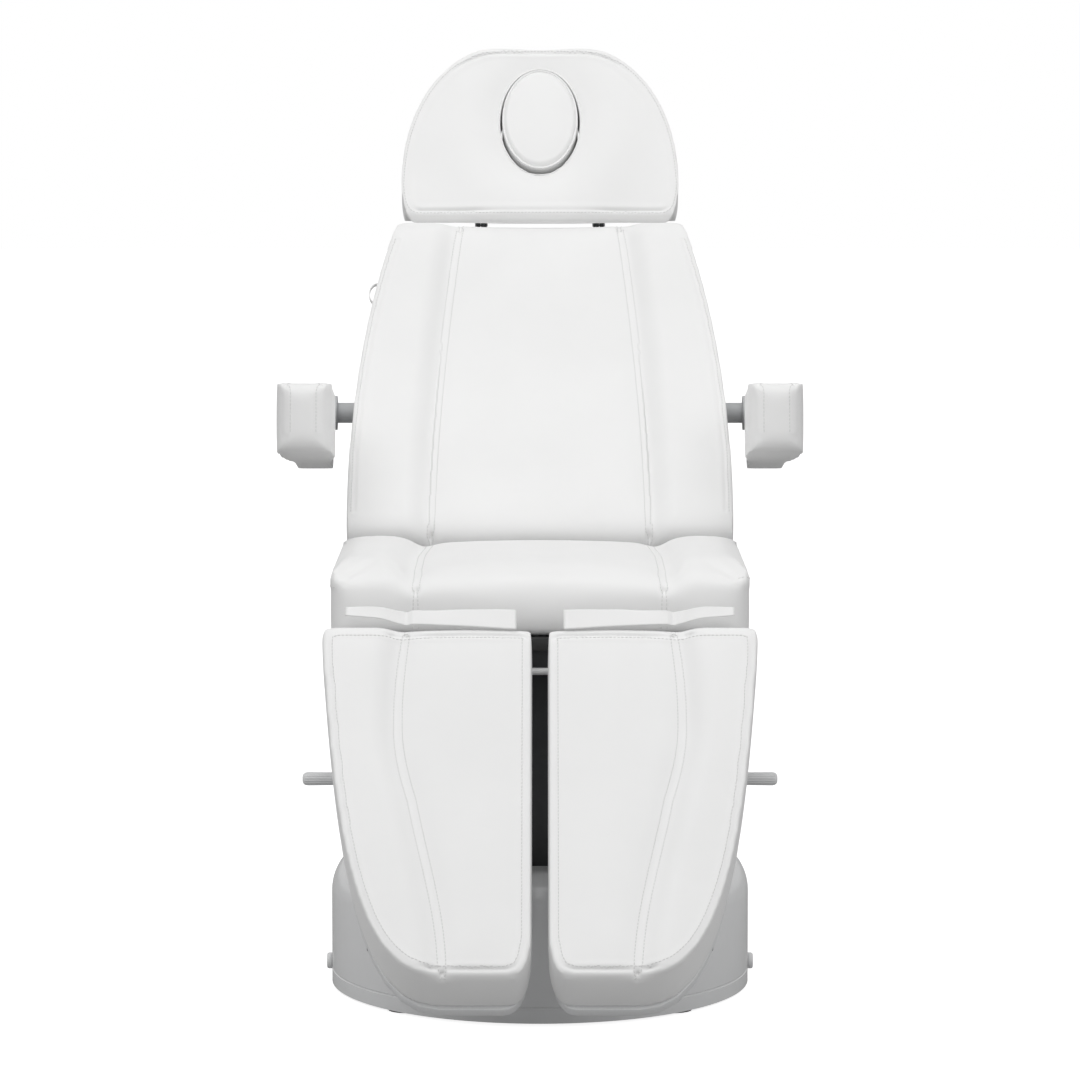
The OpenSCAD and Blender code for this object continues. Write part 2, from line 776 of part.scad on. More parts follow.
// ---- Head ----
// Half outline of the head cushion, as [x, s]: nearly straight sides that round into a flat top.
// The front edge overhangs the hinge by head_lip.
function head_side(inset) = concat(
    bezier([[head_w / 2 - 26 - inset, head_front + inset], [head_w / 2 - 10 - inset, head_front + inset],
        [head_w / 2 - inset, head_front + 30], [head_w / 2 - inset, head_start + 58]], 6),
    [for (i = [1 : 20]) let (a = 90 * i / 20, t = sin(a))
        [(head_w / 2 - inset) * pow(max(0, 1 - t * t), 0.345), head_start + 58 + (head_l - 58 - inset) * t]]);

module head_plan(inset) {
    polygon(mirrored([for (p = head_side(inset)) if (p[0] > 0.01) p]));
}

module plug_plan(gap) {
    polygon(oval(plug_w / 2 + gap, plug_l / 2 + gap, 64));
}

module head_frame() {
    side_in = ear_x - ear_t / 2 - 10;
    color(frame_grey) at_head() difference() {
        union() {
            both_sides() across(side_in, side_in + 8) {
                low = -head_t / 2 - head_board_t - 16;
                circle(head_eye_r);
                translate([-head_eye_r, low]) square([2 * head_eye_r, -low]);
                translate([-head_eye_r, low]) square([plug_at + plug_l / 2 + 40, 16]);
            }
            for (s = [head_board_start + 4, plug_at + plug_l / 2 + 8])
                block(-side_in - 1, side_in + 1, s, s + 20, -head_t / 2 - head_board_t - 16, -head_t / 2 - head_board_t);
        }
        along_x(-ear_x, ear_x, [0, 0], head_pin_r + run_fit);
    }
}

module head_board() {
    color(black) at_head() translate([0, 0, -head_t / 2 - head_board_t]) linear_extrude(head_board_t) difference() {
        intersection() {
            head_plan(12);
            translate([-head_w, head_board_start]) square([2 * head_w, head_l]);
        }
        translate([0, plug_at]) plug_plan(plug_gap + 3);
    }
}

module head_cushion() {
    r = head_t / 2;
    under = head_start + 41;
    color(leatherette) at_head() difference() {
        intersection() {
            translate([0, 0, -r]) linear_extrude(head_t) head_plan(0);
            across(-head_w, head_w) polygon(concat(
                arc([head_end - 26, r - 26], 26, 0, 90), arc([head_front + 26, r - 26], 26, 90, 180),
                [[under - 38, r - 26]],
                arc([under, 38 - r], 38, 180, 270), arc([head_end - 26, 26 - r], 26, 270, 360)));
        }
        translate([0, plug_at, -r - 1]) linear_extrude(head_t + 2) plug_plan(plug_gap);
    }
}

module head_hinge_pins() {
    color(steel) at_back() both_sides()
        along_x(ear_x - ear_t / 2 - 12, ear_x + ear_t / 2 + 2, [head_hinge_s, 0], head_pin_r);
}

module face_plug() {
    low = -head_t / 2 - head_board_t + 2;
    color(leatherette) at_head() translate([0, plug_at, low]) linear_extrude(head_t / 2 + 1 - low) plug_plan(0);
}

// ---- Leg rests ----
// Outline of a leg cushion, as [x, y] with y = -v; the outer side runs into a wide round toe
function leg_outline(inset, foot) = let (x0 = leg_gap + inset, x1 = leg_out - inset, v0 = leg_start + inset) concat(
    arc([x0 + 16, -v0 - 16], 16, 90, 180, 5),
    bezier([[x0, 60 - foot], [x0 + 2, 20 - foot], [x0 + 15, -foot], [x0 + 35, -foot]], 6),
    bezier([[x1 - 165, -foot], [x1 - 43, -foot], [x1 - 21, -v0 - 281], [x1, -v0 - 31]]),
    arc([x1 - 24, -v0 - 24], 24, 0, 90, 5));

module leg_frame(side) {
    color(frame_grey) on_side(side) at_leg() difference() {
        union() {
            for (x = guide_x) {
                tube_y(x - guide_size / 2, x + guide_size / 2, -guide_end, -20, guide_low, guide_high, guide_wall);
                across(x - lug_w / 2, x + lug_w / 2) link([0, 0], [-34, guide_low + 11], 10);
            }
            for (v = [gas_v - 10, lever_v - 10, guide_end - 25])
                block(guide_x[0] + guide_size / 2 - 1, guide_x[1] - guide_size / 2 + 1, -v - 20, -v, guide_low, guide_low + 10);
            across(gas_x + 8, gas_x + 14) link([-gas_v, gas_w], [-gas_v, guide_low + 4], 11);
            along_x(gas_x - 9, gas_x + 9, [-gas_v, gas_w], gas_pin_r);
            translate([lever_x, -lever_v, -hub_h]) cylinder(h = guide_low + hub_h + 1, r = lever_r);
            translate([lever_x, -lever_v, -hub_h]) cylinder(h = hub_h / 2 - 1, r = lever_r + 3);
        }
        along_x(guide_x[0] - 20, guide_x[1] + 20, [0, 0], leg_rod_r + run_fit);
    }
}

module leg_runners(side) {
    half = guide_size / 2 - guide_wall - slide_gap;
    color(steel) on_side(side) at_leg() for (x = guide_x) {
        block(x - half, x + half, 1 - runner_end, -60, guide_low + guide_wall + slide_gap, guide_high - guide_wall - slide_gap);
        block(x - guide_size / 2, x + guide_size / 2, -runner_end, runner_foot - runner_end, guide_low, leg_board_w);
    }
}

module leg_board(side) {
    color(white_gloss) on_side(side) at_leg() translate([0, 0, leg_board_w])
        linear_extrude(leg_board_t) polygon(leg_outline(5, leg_end + 2));
}

module leg_cushion(side) {
    color(leatherette) on_side(side) at_leg() intersection() {
        translate([0, 0, leg_low_w]) linear_extrude(leg_t) polygon(leg_outline(0, leg_end));
        across(0, leg_out + 1) polygon(concat(
            arc([-leg_start - 25, leg_top_w - 25], 25, 0, 90), arc([-leg_end + 22, leg_top_w - 22], 22, 90, 180),
            [[-leg_end, leg_low_w], [-leg_start, leg_low_w]]));
    }
}

module leg_flap(side) {
    color(leatherette) on_side(side) at_leg()
        block(leg_gap + 22, leg_out - 32, -30, 10, leg_top_w - 4, leg_top_w + 1);
}

module release_lever(side) {
    color(arm_grey) on_side(side) at_leg() difference() {
        union() {
            translate([lever_x, -lever_v, -hub_h / 2]) cylinder(h = hub_h, r = 12);
            along_x(lever_x, grip_out - 8, [-lever_v, 0], lever_r);
        }
        translate([lever_x, -lever_v, -20]) cylinder(h = 40, r = lever_r + run_fit);
    }
}

module lever_grip(side) {
    color(white_gloss) on_side(side) at_leg() difference() {
        along_x(grip_in, grip_out, [-lever_v, 0], grip_r);
        along_x(grip_in - 1, grip_out - 8, [-lever_v, 0], lever_r + set_fit);
    }
}

module gas_spring(side) {
    color(black) on_side(side) aim(gas_x, gas_foot, gas_head) difference() {
        union() {
            along_x(-6, 6, [0, 0], gas_tube_r);
            translate([0, 6, 0]) rotate([-90, 0, 0]) cylinder(h = gas_parts[0], r = gas_tube_r);
        }
        along_x(-10, 10, [0, 0], gas_pin_r + run_fit);
        translate([0, 24, 0]) rotate([-90, 0, 0]) cylinder(h = gas_parts[0], r = gas_pin_r + 2 * run_fit);
    }
}

module gas_rod(side) {
    color(steel) on_side(side) actuator_rod(gas_x, gas_foot, gas_head, gas_parts, gas_pin_r, gas_pin_r);
}

// ---- Armrests ----
module armrest_rod(side) {
    color(arm_grey) on_side(side) translate([0, arm_world[0], arm_world[1]]) {
        along_x(back_rail_x + back_rail_w / 2 + 1, arm_pad_in, [0, 0], arm_rod_d / 2);
        along_x(arm_pad_in - 4, arm_pad_in, [0, 0], flange_r);
    }
}

module armrest_pad(side) {
    front = arm_pad_behind - arm_pad_l;
    x0 = arm_pad_in - (arm_front_w - arm_rear_w) / 2;
    toe_r = 0.4 * arm_front_w;
    heel_r = 14;
    color(leatherette) on_side(side) at_arm() intersection() {
        translate([0, 0, -2 * arm_front_h]) linear_extrude(4 * arm_front_h) polygon(concat(
            arc([x0 + toe_r, front + toe_r], toe_r, 180, 270), arc([x0 + arm_front_w - toe_r, front + toe_r], toe_r, 270, 360),
            [[x0 + arm_front_w, front + 170], [arm_pad_in + arm_rear_w, front + 300]],
            arc([arm_pad_in + arm_rear_w - heel_r, arm_pad_behind - heel_r], heel_r, 0, 90, 4),
            arc([arm_pad_in + heel_r, arm_pad_behind - heel_r], heel_r, 90, 180, 4),
            [[arm_pad_in, front + 300], [x0, front + 170]]));
        across(x0 - 1, x0 + arm_front_w + 1) polygon(concat(
            arc([front + 30, arm_front_h / 2 - arm_pad_drop - 30], 30, 90, 180),
            arc([front + 30, 30 - arm_front_h / 2 - arm_pad_drop], 30, 180, 270),
            arc([arm_pad_behind - 24, 24 - arm_rear_h / 2 - arm_pad_drop], 24, 270, 360),
            arc([arm_pad_behind - 24, arm_rear_h / 2 - arm_pad_drop - 24], 24, 0, 90)));
    }
}

base_plate();
base_feet();
base_cover();
cover_knobs();
base_brackets();
lift_clevis();
base_pivot_pins();
control_box();
power_inlet();
lower_arm();
upper_arm();
carriage_frame();
column_cover();
carriage_pivot_pins();
lift_actuator();
lift_rod();
tilt_actuator();
tilt_rod();
seat_frame();
seat_board();
seat_cushion();
leg_hinge_rod();
tilt_shaft();
seat_pivot_pins();
back_actuator();
back_rod();
back_frame();
back_board();
back_cushion();
armrest_sockets();
back_lever_pin();
side_tab();
head_frame();
head_board();
head_cushion();
head_hinge_pins();
face_plug();
leg_frame(-1);  // leg_frame_left
leg_frame(1);  // leg_frame_right
leg_runners(-1);  // leg_runners_left
leg_runners(1);  // leg_runners_right
leg_board(-1);  // leg_board_left
leg_board(1);  // leg_board_right
leg_cushion(-1);  // leg_cushion_left
leg_cushion(1);  // leg_cushion_right
leg_flap(-1);  // leg_flap_left
leg_flap(1);  // leg_flap_right
release_lever(-1);  // release_lever_left
release_lever(1);  // release_lever_right
lever_grip(-1);  // lever_grip_left
lever_grip(1);  // lever_grip_right
gas_spring(-1);  // gas_spring_left
gas_spring(1);  // gas_spring_right
gas_rod(-1);  // gas_rod_left
gas_rod(1);  // gas_rod_right
armrest_rod(-1);  // armrest_rod_left
armrest_rod(1);  // armrest_rod_right
armrest_pad(-1);  // armrest_pad_left
armrest_pad(1);  // armrest_pad_right
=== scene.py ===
"""Facial treatment bed: upholstery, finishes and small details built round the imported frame."""

import json
import math
from contextlib import contextmanager

import bmesh
import bpy
import numpy as np
from mathutils import Matrix, Vector
from mathutils.bvhtree import BVHTree
from mathutils.kdtree import KDTree


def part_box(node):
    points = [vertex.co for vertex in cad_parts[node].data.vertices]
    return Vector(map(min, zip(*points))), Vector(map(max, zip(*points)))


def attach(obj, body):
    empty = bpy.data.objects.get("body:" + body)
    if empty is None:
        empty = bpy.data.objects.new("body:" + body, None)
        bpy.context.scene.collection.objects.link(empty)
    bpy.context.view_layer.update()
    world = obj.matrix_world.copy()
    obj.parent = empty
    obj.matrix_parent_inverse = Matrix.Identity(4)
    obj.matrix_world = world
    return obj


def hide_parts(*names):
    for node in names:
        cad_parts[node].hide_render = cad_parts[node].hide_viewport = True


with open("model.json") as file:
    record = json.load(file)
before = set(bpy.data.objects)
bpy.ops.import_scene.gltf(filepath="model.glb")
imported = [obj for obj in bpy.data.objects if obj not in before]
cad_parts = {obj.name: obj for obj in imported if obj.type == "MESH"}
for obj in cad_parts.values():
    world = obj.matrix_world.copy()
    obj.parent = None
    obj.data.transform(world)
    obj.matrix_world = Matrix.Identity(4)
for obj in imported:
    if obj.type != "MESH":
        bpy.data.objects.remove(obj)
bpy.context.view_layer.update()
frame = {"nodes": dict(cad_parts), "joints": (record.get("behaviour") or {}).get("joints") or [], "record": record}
scene = bpy.context.scene
nodes = frame["nodes"]
joints = {j["name"]: j for j in frame["joints"]}


# ---------------------------------------------------------------- Stage


CAMERA_PLACE = (0.0, -7.26, 1.355)
CAMERA_PITCH = 5.46
CAMERA_LENS = 164.0
WORLD_LIGHT = 0.60
KEY_LIGHT = 50.0
FILL_LIGHT = 24.0
TOP_LIGHT = 40.0
FLOOR_SHEEN = 0.90
FLOOR_REACH = 30.0


def add_camera():
    """Stands in front of the bed, above the seat, and looks slightly down."""
    lens = bpy.data.cameras.new("camera")
    lens.lens = CAMERA_LENS
    lens.sensor_width = 36.0
    lens.clip_end = 60.0
    camera = bpy.data.objects.new("camera", lens)
    camera.location = CAMERA_PLACE
    camera.rotation_euler = (math.radians(90.0 - CAMERA_PITCH), 0.0, 0.0)
    scene.collection.objects.link(camera)
    scene.camera = camera


def add_light(name, place, aim, size, watts):
    lamp = bpy.data.lights.new(name, "AREA")
    lamp.shape = "RECTANGLE"
    lamp.size, lamp.size_y = size
    lamp.energy = watts
    light = bpy.data.objects.new(name, lamp)
    light.location = place
    light.rotation_euler = (Vector(aim) - Vector(place)).to_track_quat("-Z", "Y").to_euler()
    scene.collection.objects.link(light)


def seen_by_camera(tree, seen, elsewhere):
    """A strength that is one value where the camera looks and another where light falls."""
    rays = tree.nodes.new("ShaderNodeLightPath")
    mix = tree.nodes.new("ShaderNodeMapRange")
    mix.inputs["To Min"].default_value = elsewhere
    mix.inputs["To Max"].default_value = seen
    tree.links.new(rays.outputs["Is Camera Ray"], mix.inputs["Value"])
    return mix.outputs["Result"]


def add_stage():
    """A white studio whose light comes from above and in front."""
    world = bpy.data.worlds.new("studio")
    world.use_nodes = True
    background = world.node_tree.nodes["Background"]
    background.inputs["Color"].default_value = (1.0, 1.0, 1.0, 1.0)
    world.node_tree.links.new(seen_by_camera(world.node_tree, 1.0, WORLD_LIGHT), background.inputs["Strength"])
    scene.world = world
    scene.view_settings.view_transform = "Standard"
    add_light("key", (-1.8, -3.8, 4.4), (0, 0, 0.7), (2.6, 2.0), KEY_LIGHT)
    add_light("fill", (2.6, -3.8, 3.2), (0, 0, 0.7), (2.4, 2.4), FILL_LIGHT)
    add_light("top", (0.0, -0.4, 4.4), (0, 0, 0.5), (3.0, 3.0), TOP_LIGHT)
    plane = bpy.data.meshes.new("floor")
    far = FLOOR_REACH
    plane.from_pydata([(-far, -far, 0), (far, -far, 0), (far, far, 0), (-far, far, 0)], [], [(0, 1, 2, 3)])
    floor = bpy.data.objects.new("floor", plane)
    scene.collection.objects.link(floor)
    finish = Finish("floor_paint", (0.45, 0.45, 0.45), roughness=0.9, emission_color=(1.0, 1.0, 1.0, 1.0),
                    emission_strength=0.0)
    finish.tree.links.new(seen_by_camera(finish.tree, FLOOR_SHEEN, 0.0),
                          finish.shader.inputs["Emission Strength"])
    plane.materials.append(finish.material)


# ---------------------------------------------------------------- Materials


class Value:
    """A number on a surface; arithmetic on values adds the Math nodes that work it out."""

    def __init__(self, finish, socket):
        self.finish = finish
        self.socket = socket

    def math(self, operation, *others):
        return self.finish.node("ShaderNodeMath", {"operation": operation}, [self, *others])

    def __add__(self, other):
        return self.math("ADD", other)

    __radd__ = __add__

    def __sub__(self, other):
        return self.math("SUBTRACT", other)

    def __rsub__(self, other):
        return self.finish.node("ShaderNodeMath", {"operation": "SUBTRACT"}, [other, self])

    def __mul__(self, other):
        return self.math("MULTIPLY", other)

    __rmul__ = __mul__

    def __truediv__(self, other):
        return self.math("DIVIDE", other)

    def __pow__(self, other):
        return self.math("POWER", other)


class Finish:
    """A material: its nodes are added by node(), and surface() sets the shader's own sockets."""

    def __init__(self, name, color, **fixed):
        self.material = bpy.data.materials.new(name)
        self.material.use_nodes = True
        self.tree = self.material.node_tree
        self.shader = self.tree.nodes["Principled BSDF"]
        self.color = (*color, 1.0)
        self.material.diffuse_color = self.color
        self.surface(base_color=self.color, **fixed)
        self.place = self.node("ShaderNodeTexCoord", {}, {}, "Object")

    def node(self, kind, settings, sockets, output=0):
        node = self.tree.nodes.new(kind)
        for key, value in settings.items():
            if key == "stops":
                self.set_stops(node.color_ramp, value)
            else:
                setattr(node, key, value)
        pairs = enumerate(sockets) if isinstance(sockets, list) else sockets.items()
        for key, value in pairs:
            self.feed(node.inputs[key], value)
        return Value(self, node.outputs[output])

    def set_stops(self, ramp, stops):
        for k, (place, grey) in enumerate(stops):
            element = ramp.elements[k] if k < 2 else ramp.elements.new(place)
            element.position = place
            element.color = (grey, grey, grey, 1.0)

    def feed(self, socket, value):
        if isinstance(value, Value):
            self.tree.links.new(value.socket, socket)
        else:
            socket.default_value = value

    def surface(self, **sockets):
        for key, value in sockets.items():
            self.feed(self.shader.inputs[key.replace("_", " ").title().replace("Ior", "IOR")], value)

    def noise(self, scale, detail=3.0, roughness=0.5, place=None):
        sockets = {"Vector": place or self.place, "Scale": scale, "Detail": detail, "Roughness": roughness}
        return self.node("ShaderNodeTexNoise", {}, sockets, "Fac")

    def cells(self, scale, feature="F1", place=None):
        sockets = {"Vector": place or self.place, "Scale": scale}
        return self.node("ShaderNodeTexVoronoi", {"feature": feature}, sockets, "Distance")

    def stretched(self, scale, turn=(0.0, 0.0, 0.0)):
        return self.node("ShaderNodeMapping", {}, {"Vector": self.place, "Scale": scale, "Rotation": turn})

    def mixed(self, amount, first, second):
        """Colour that goes from first to second as amount goes from 0 to 1."""
        sockets = {0: amount, 6: (*first, 1.0), 7: (*second, 1.0)}
        return self.node("ShaderNodeMix", {"data_type": "RGBA"}, sockets, 2)

    def bump(self, height, distance, strength=1.0, onto=None):
        sockets = {"Height": height, "Distance": distance, "Strength": strength}
        if onto is not None:
            sockets["Normal"] = onto
        return self.node("ShaderNodeBump", {}, sockets, "Normal")


def shade(color, factor):
    return tuple(min(1.0, c * factor) for c in color)


def leatherette(name, color=(0.86, 0.86, 0.857)):
    """White artificial leather: pebbled grain, slow waves of tone, and a satin that varies."""
    f = Finish(name, color, specular_ior_level=0.42, sheen_weight=0.12, sheen_roughness=0.4)
    pebbles = f.cells(1050.0, "SMOOTH_F1")
    pores = f.noise(2300.0, 2.0)
    waves = f.noise(5.0, 4.0, 0.55)
    handled = f.noise(17.0, 3.0, 0.6)
    tone = f.node("ShaderNodeValToRGB", {"stops": [(0.3, 0.0), (0.75, 1.0)]}, {"Fac": waves}, "Color")
    grain = pebbles * 0.7 + pores * 0.3
    f.surface(
        base_color=f.mixed(tone * 0.8 + pebbles * 0.25, shade(color, 0.975), shade(color, 1.02)),
        roughness=0.44 + handled * 0.12 - pores * 0.06,
        normal=f.bump(grain, 0.00012, 0.55, f.bump(handled, 0.0012, 0.35)),
    )
    return f.material


# The thread colour is painted shade: darker than the leatherette so each row of stitches reads as shaded needle
# holes.
def thread(name, color=(0.74, 0.74, 0.735)):
    """Twisted sewing thread, greyer than the white leatherette: the grey is painted shade that stands in for the
    dark needle holes along each row.
    """
    f = Finish(name, color, sheen_weight=0.3)
    twist = f.noise(3200.0, 2.0)
    f.surface(
        base_color=f.mixed(twist, shade(color, 0.9), shade(color, 1.05)),
        roughness=0.6 + twist * 0.2,
        normal=f.bump(twist, 0.0001, 0.6),
    )
    return f.material


def gloss_plastic(name, color, roughness=0.16):
    """Moulded, polished plastic with a faint orange peel and fine scuffs."""
    f = Finish(name, color, specular_ior_level=0.5, coat_roughness=0.08)
    peel = f.noise(120.0, 2.0)
    scuffs = f.noise(900.0, 3.0, 0.7, f.stretched((1.0, 0.25, 3.0)))
    dust = f.noise(6.0, 5.0, 0.6)
    f.surface(
        base_color=f.mixed(dust, shade(color, 0.97), shade(color, 1.01)),
        roughness=roughness + dust * 0.1 + scuffs * 0.05,
        coat_weight=0.35 + peel * 0.1,
        normal=f.bump(peel, 0.0002, 0.25, f.bump(scuffs, 0.00003, 0.2)),
    )
    return f.material


def matt_plastic(name, color, roughness=0.5):
    """Moulded plastic with a spark-eroded texture."""
    f = Finish(name, color, specular_ior_level=0.45)
    texture = f.noise(1600.0, 3.0, 0.6)
    patches = f.noise(14.0, 3.0)
    f.surface(
        base_color=f.mixed(patches, shade(color, 0.93), shade(color, 1.05)),
        roughness=roughness + texture * 0.12 - patches * 0.05,
        normal=f.bump(texture, 0.00012, 0.5),
    )
    return f.material


def powder_coat(name, color, roughness=0.42):
    """Powder-coated steel: fine pebbling, worn a little brighter where it was handled."""
    f = Finish(name, color, specular_ior_level=0.5)
    pebbles = f.noise(700.0, 4.0, 0.6)
    patches = f.noise(9.0, 4.0, 0.6)
    specks = f.node("ShaderNodeValToRGB", {"stops": [(0.70, 0.0), (0.78, 1.0)]},
                    {"Fac": f.noise(260.0, 5.0, 0.7)}, "Color")
    f.surface(
        base_color=f.mixed(specks * 0.5 + patches * 0.4, shade(color, 0.92), shade(color, 1.18)),
        roughness=roughness + patches * 0.1 + pebbles * 0.05,
        normal=f.bump(pebbles, 0.00015, 0.4),
    )
    return f.material


def zinc_steel(name, color=(0.62, 0.62, 0.63), roughness=0.26):
    """Zinc-plated turned steel with fine lines round the bar."""
    f = Finish(name, color, metallic=1.0)
    lines = f.noise(90.0, 6.0, 0.7, f.stretched((40.0, 1.0, 1.0)))
    stains = f.noise(30.0, 4.0, 0.6)
    f.surface(
        base_color=f.mixed(stains, shade(color, 0.86), shade(color, 1.08)),
        roughness=roughness + lines * 0.14 + stains * 0.08,
        normal=f.bump(lines, 0.00004, 0.4),
    )
    return f.material


def laminate(name, color, roughness=0.38):
    """Plywood board under a thin laminate."""
    f = Finish(name, color, specular_ior_level=0.5)
    grain = f.noise(22.0, 6.0, 0.65, f.stretched((14.0, 1.0, 14.0)))
    marks = f.noise(400.0, 3.0)
    f.surface(
        base_color=f.mixed(grain, shade(color, 0.94), shade(color, 1.05)),
        roughness=roughness + grain * 0.1 + marks * 0.05,
        normal=f.bump(grain * 0.5 + marks * 0.5, 0.00008, 0.4),
    )
    return f.material


def rubber(name, color=(0.035, 0.035, 0.035)):
    """Moulded rubber with a pale bloom and fine pits."""
    f = Finish(name, color, specular_ior_level=0.3)
    bloom = f.noise(40.0, 4.0, 0.6)
    pits = f.noise(1200.0, 3.0)
    f.surface(
        base_color=f.mixed(bloom, shade(color, 0.8), shade(color, 1.5)),
        roughness=0.75 + bloom * 0.12,
        normal=f.bump(pits, 0.0002, 0.5),
    )
    return f.material


FINISHES = {
    "leatherette": leatherette("leatherette"),
    "cover_white": gloss_plastic("cover_white", (0.80, 0.805, 0.81)),
    "rubber_black": rubber("rubber_black"),
    "plastic_black": matt_plastic("plastic_black", (0.03, 0.03, 0.032)),
    "actuator_black": matt_plastic("actuator_black", (0.035, 0.035, 0.038), 0.4),
    "board_black": laminate("board_black", (0.02, 0.02, 0.02)),
    "board_white": laminate("board_white", (0.78, 0.785, 0.79)),
    "rod_white": powder_coat("rod_white", (0.82, 0.82, 0.82)),
    "arm_grey": powder_coat("arm_grey", (0.50, 0.51, 0.52)),
    "grip_white": matt_plastic("grip_white", (0.72, 0.725, 0.73), 0.35),
    "steel": zinc_steel("steel"),
    "frame_grey": powder_coat("frame_grey", (0.055, 0.057, 0.06)),
    "thread": thread("thread"),
}


SLOTS = {part["node"]: part["material_slot"] for part in frame["record"]["subparts"]}


def finish_cad_nodes():
    """Gives every CAD node the finish of its material slot."""
    for node, slot in SLOTS.items():
        mesh = nodes[node].data
        mesh.materials.clear()
        mesh.materials.append(FINISHES[slot])
        for polygon in mesh.polygons:
            polygon.material_index = 0


# ---------------------------------------------------------------- Places


def place(origin, along, outward):
    """The frame of a section: X across the bed, Y along the section, Z out of its padded face."""
    y = Vector(along).normalized()
    z = Vector(outward).normalized()
    x = y.cross(z)
    return Matrix.Translation(Vector(origin)) @ Matrix((x, y, z)).transposed().to_4x4()


def across(direction):
    """The direction at right angles to one in the YZ plane, a quarter turn from +Y to +Z."""
    return Vector((0.0, -direction[2], direction[1]))


def node_box(node, matrix):
    """Lowest and highest corners of a CAD node in a section's own frame."""
    back = matrix.inverted()
    points = np.array([back @ v.co for v in nodes[node].data.vertices])
    return Vector(points.min(0)), Vector(points.max(0))


back_hinge = Vector(joints["back_recline"]["pos_m"])
head_hinge = Vector(joints["headrest_tilt"]["pos_m"])
leg_hinge = Vector(joints["leg_left_lift"]["pos_m"])
arm_pivot = Vector(joints["armrest_left_turn"]["pos_m"])
back_up = (head_hinge - back_hinge).normalized()
head_out = Vector(joints["face_plug_slide"]["axis"])
leg_down = Vector(joints["foot_left_extend"]["axis"])
ARM_SLOPE = math.radians(9.5)
arm_back = Vector((0.0, math.cos(ARM_SLOPE), -math.sin(ARM_SLOPE)))

SEAT = Matrix.Identity(4)
BACK = place(back_hinge, back_up, across(back_up))
HEAD = place(head_hinge, -across(head_out), head_out)
LEG = place(leg_hinge, -leg_down, across(-leg_down))
ARM = place(arm_pivot, arm_back, across(arm_back))
MIRROR = Matrix.Scale(-1.0, 4, (1.0, 0.0, 0.0))


# ---------------------------------------------------------------- Outlines


def bezier(p0, p1, p2, p3, n=24):
    t = np.linspace(0.0, 1.0, n + 1)[:, None]
    p0, p1, p2, p3 = (np.array(p, float) for p in (p0, p1, p2, p3))
    u = 1.0 - t
    return u**3 * p0 + 3 * u * u * t * p1 + 3 * u * t * t * p2 + t**3 * p3


def arc(centre, radius, start, end, n=12):
    a = np.radians(np.linspace(start, end, n + 1))
    return np.array(centre) + radius * np.column_stack([np.cos(a), np.sin(a)])


def closed(*runs):
    """One closed outline, anticlockwise, from runs of points, without repeats."""
    points = np.vstack(runs)
    keep = np.linalg.norm(points - np.roll(points, 1, 0), axis=1) > 1e-5
    return points[keep]


def mirrored(half):
    """Closed outline from its right half, which runs from the lower end to the upper end."""
    return closed(half, half[::-1] * (-1.0, 1.0))


def outward(points):
    """Unit normals of an anticlockwise outline, smoothed over their neighbours."""
    tangent = np.roll(points, -1, 0) - np.roll(points, 1, 0)
    normal = np.column_stack([tangent[:, 1], -tangent[:, 0]])
    normal /= np.linalg.norm(normal, axis=1)[:, None]
    normal = (normal + np.roll(normal, 1, 0) + np.roll(normal, -1, 0)) / 3.0
    return normal / np.linalg.norm(normal, axis=1)[:, None]


def back_outline():
    lo, hi = node_box("back_cushion", BACK)
    base, top = lo.y, hi.y
    half = hi.x
    shoulder = 0.232
    return mirrored(closed(
        [[0.0, base]],
        arc((half - 0.030, base + 0.028), 0.028, -90, 0),
        bezier((half, base + 0.045), (half + 0.002, base + 0.2), (half - 0.013, base + 0.41),
               (shoulder, top - 0.028)),
        bezier((shoulder, top - 0.028), (shoulder - 0.004, top - 0.010), (shoulder - 0.014, top),
               (shoulder - 0.036, top), 8),
        [[0.0, top]],
    ))


def head_half_width(t, half):
    return half * (1.0 - t * t) ** 0.345


def head_outline():
    lo, hi = node_box("head_cushion", HEAD)
    half, base, top = hi.x, lo.y, hi.y
    belly = base + 0.058
    t = np.sin(np.radians(np.linspace(0.0, 89.4, 40)))
    crown = np.column_stack([head_half_width(t, half), belly + (top - belly) * t])
    return mirrored(closed(
        [[0.0, base]],
        bezier((half - 0.034, base), (half - 0.012, base), (half - 0.001, base + 0.022), (half, belly), 12),
        crown,
        [[0.0, top]],
    ))


def leg_outline():
    """Right leg cushion in the leg's frame; the outer side runs into the wide round toe."""
    lo, hi = node_box("leg_cushion_right", LEG)
    inner, outer, toe, top = lo.x, hi.x, lo.y, hi.y
    return closed(
        bezier((inner, toe + 0.060), (inner + 0.002, toe + 0.020), (inner + 0.015, toe),
               (inner + 0.035, toe), 10),
        bezier((outer - 0.165, toe), (outer - 0.043, toe), (outer - 0.021, top - 0.281), (outer, top - 0.031)),
        arc((outer - 0.026, top - 0.026), 0.026, 0, 90),
        arc((inner + 0.016, top - 0.016), 0.016, 90, 180),
    )


# ---------------------------------------------------------------- Meshes


def add_mesh(name, points, faces, finish, smooth=True):
    mesh = bpy.data.meshes.new(name)
    mesh.from_pydata([tuple(p) for p in points], [], faces)
    mesh.materials.append(FINISHES[finish])
    piece = bpy.data.objects.new(name, mesh)
    scene.collection.objects.link(piece)
    set_smooth(piece, smooth)
    return piece


def quads(rows, columns, wrapped=True):
    """Faces between rows of points; wrapped rows close into rings."""
    last = columns if wrapped else columns - 1
    return [(j * columns + k, j * columns + (k + 1) % columns,
             (j + 1) * columns + (k + 1) % columns, (j + 1) * columns + k)
            for j in range(rows - 1) for k in range(last)]


def set_smooth(piece, smooth=True):
    piece.data.polygons.foreach_set("use_smooth", [smooth] * len(piece.data.polygons))


def points_of(mesh):
    co = np.empty(len(mesh.vertices) * 3)
    mesh.vertices.foreach_get("co", co)
    return co.reshape(-1, 3)


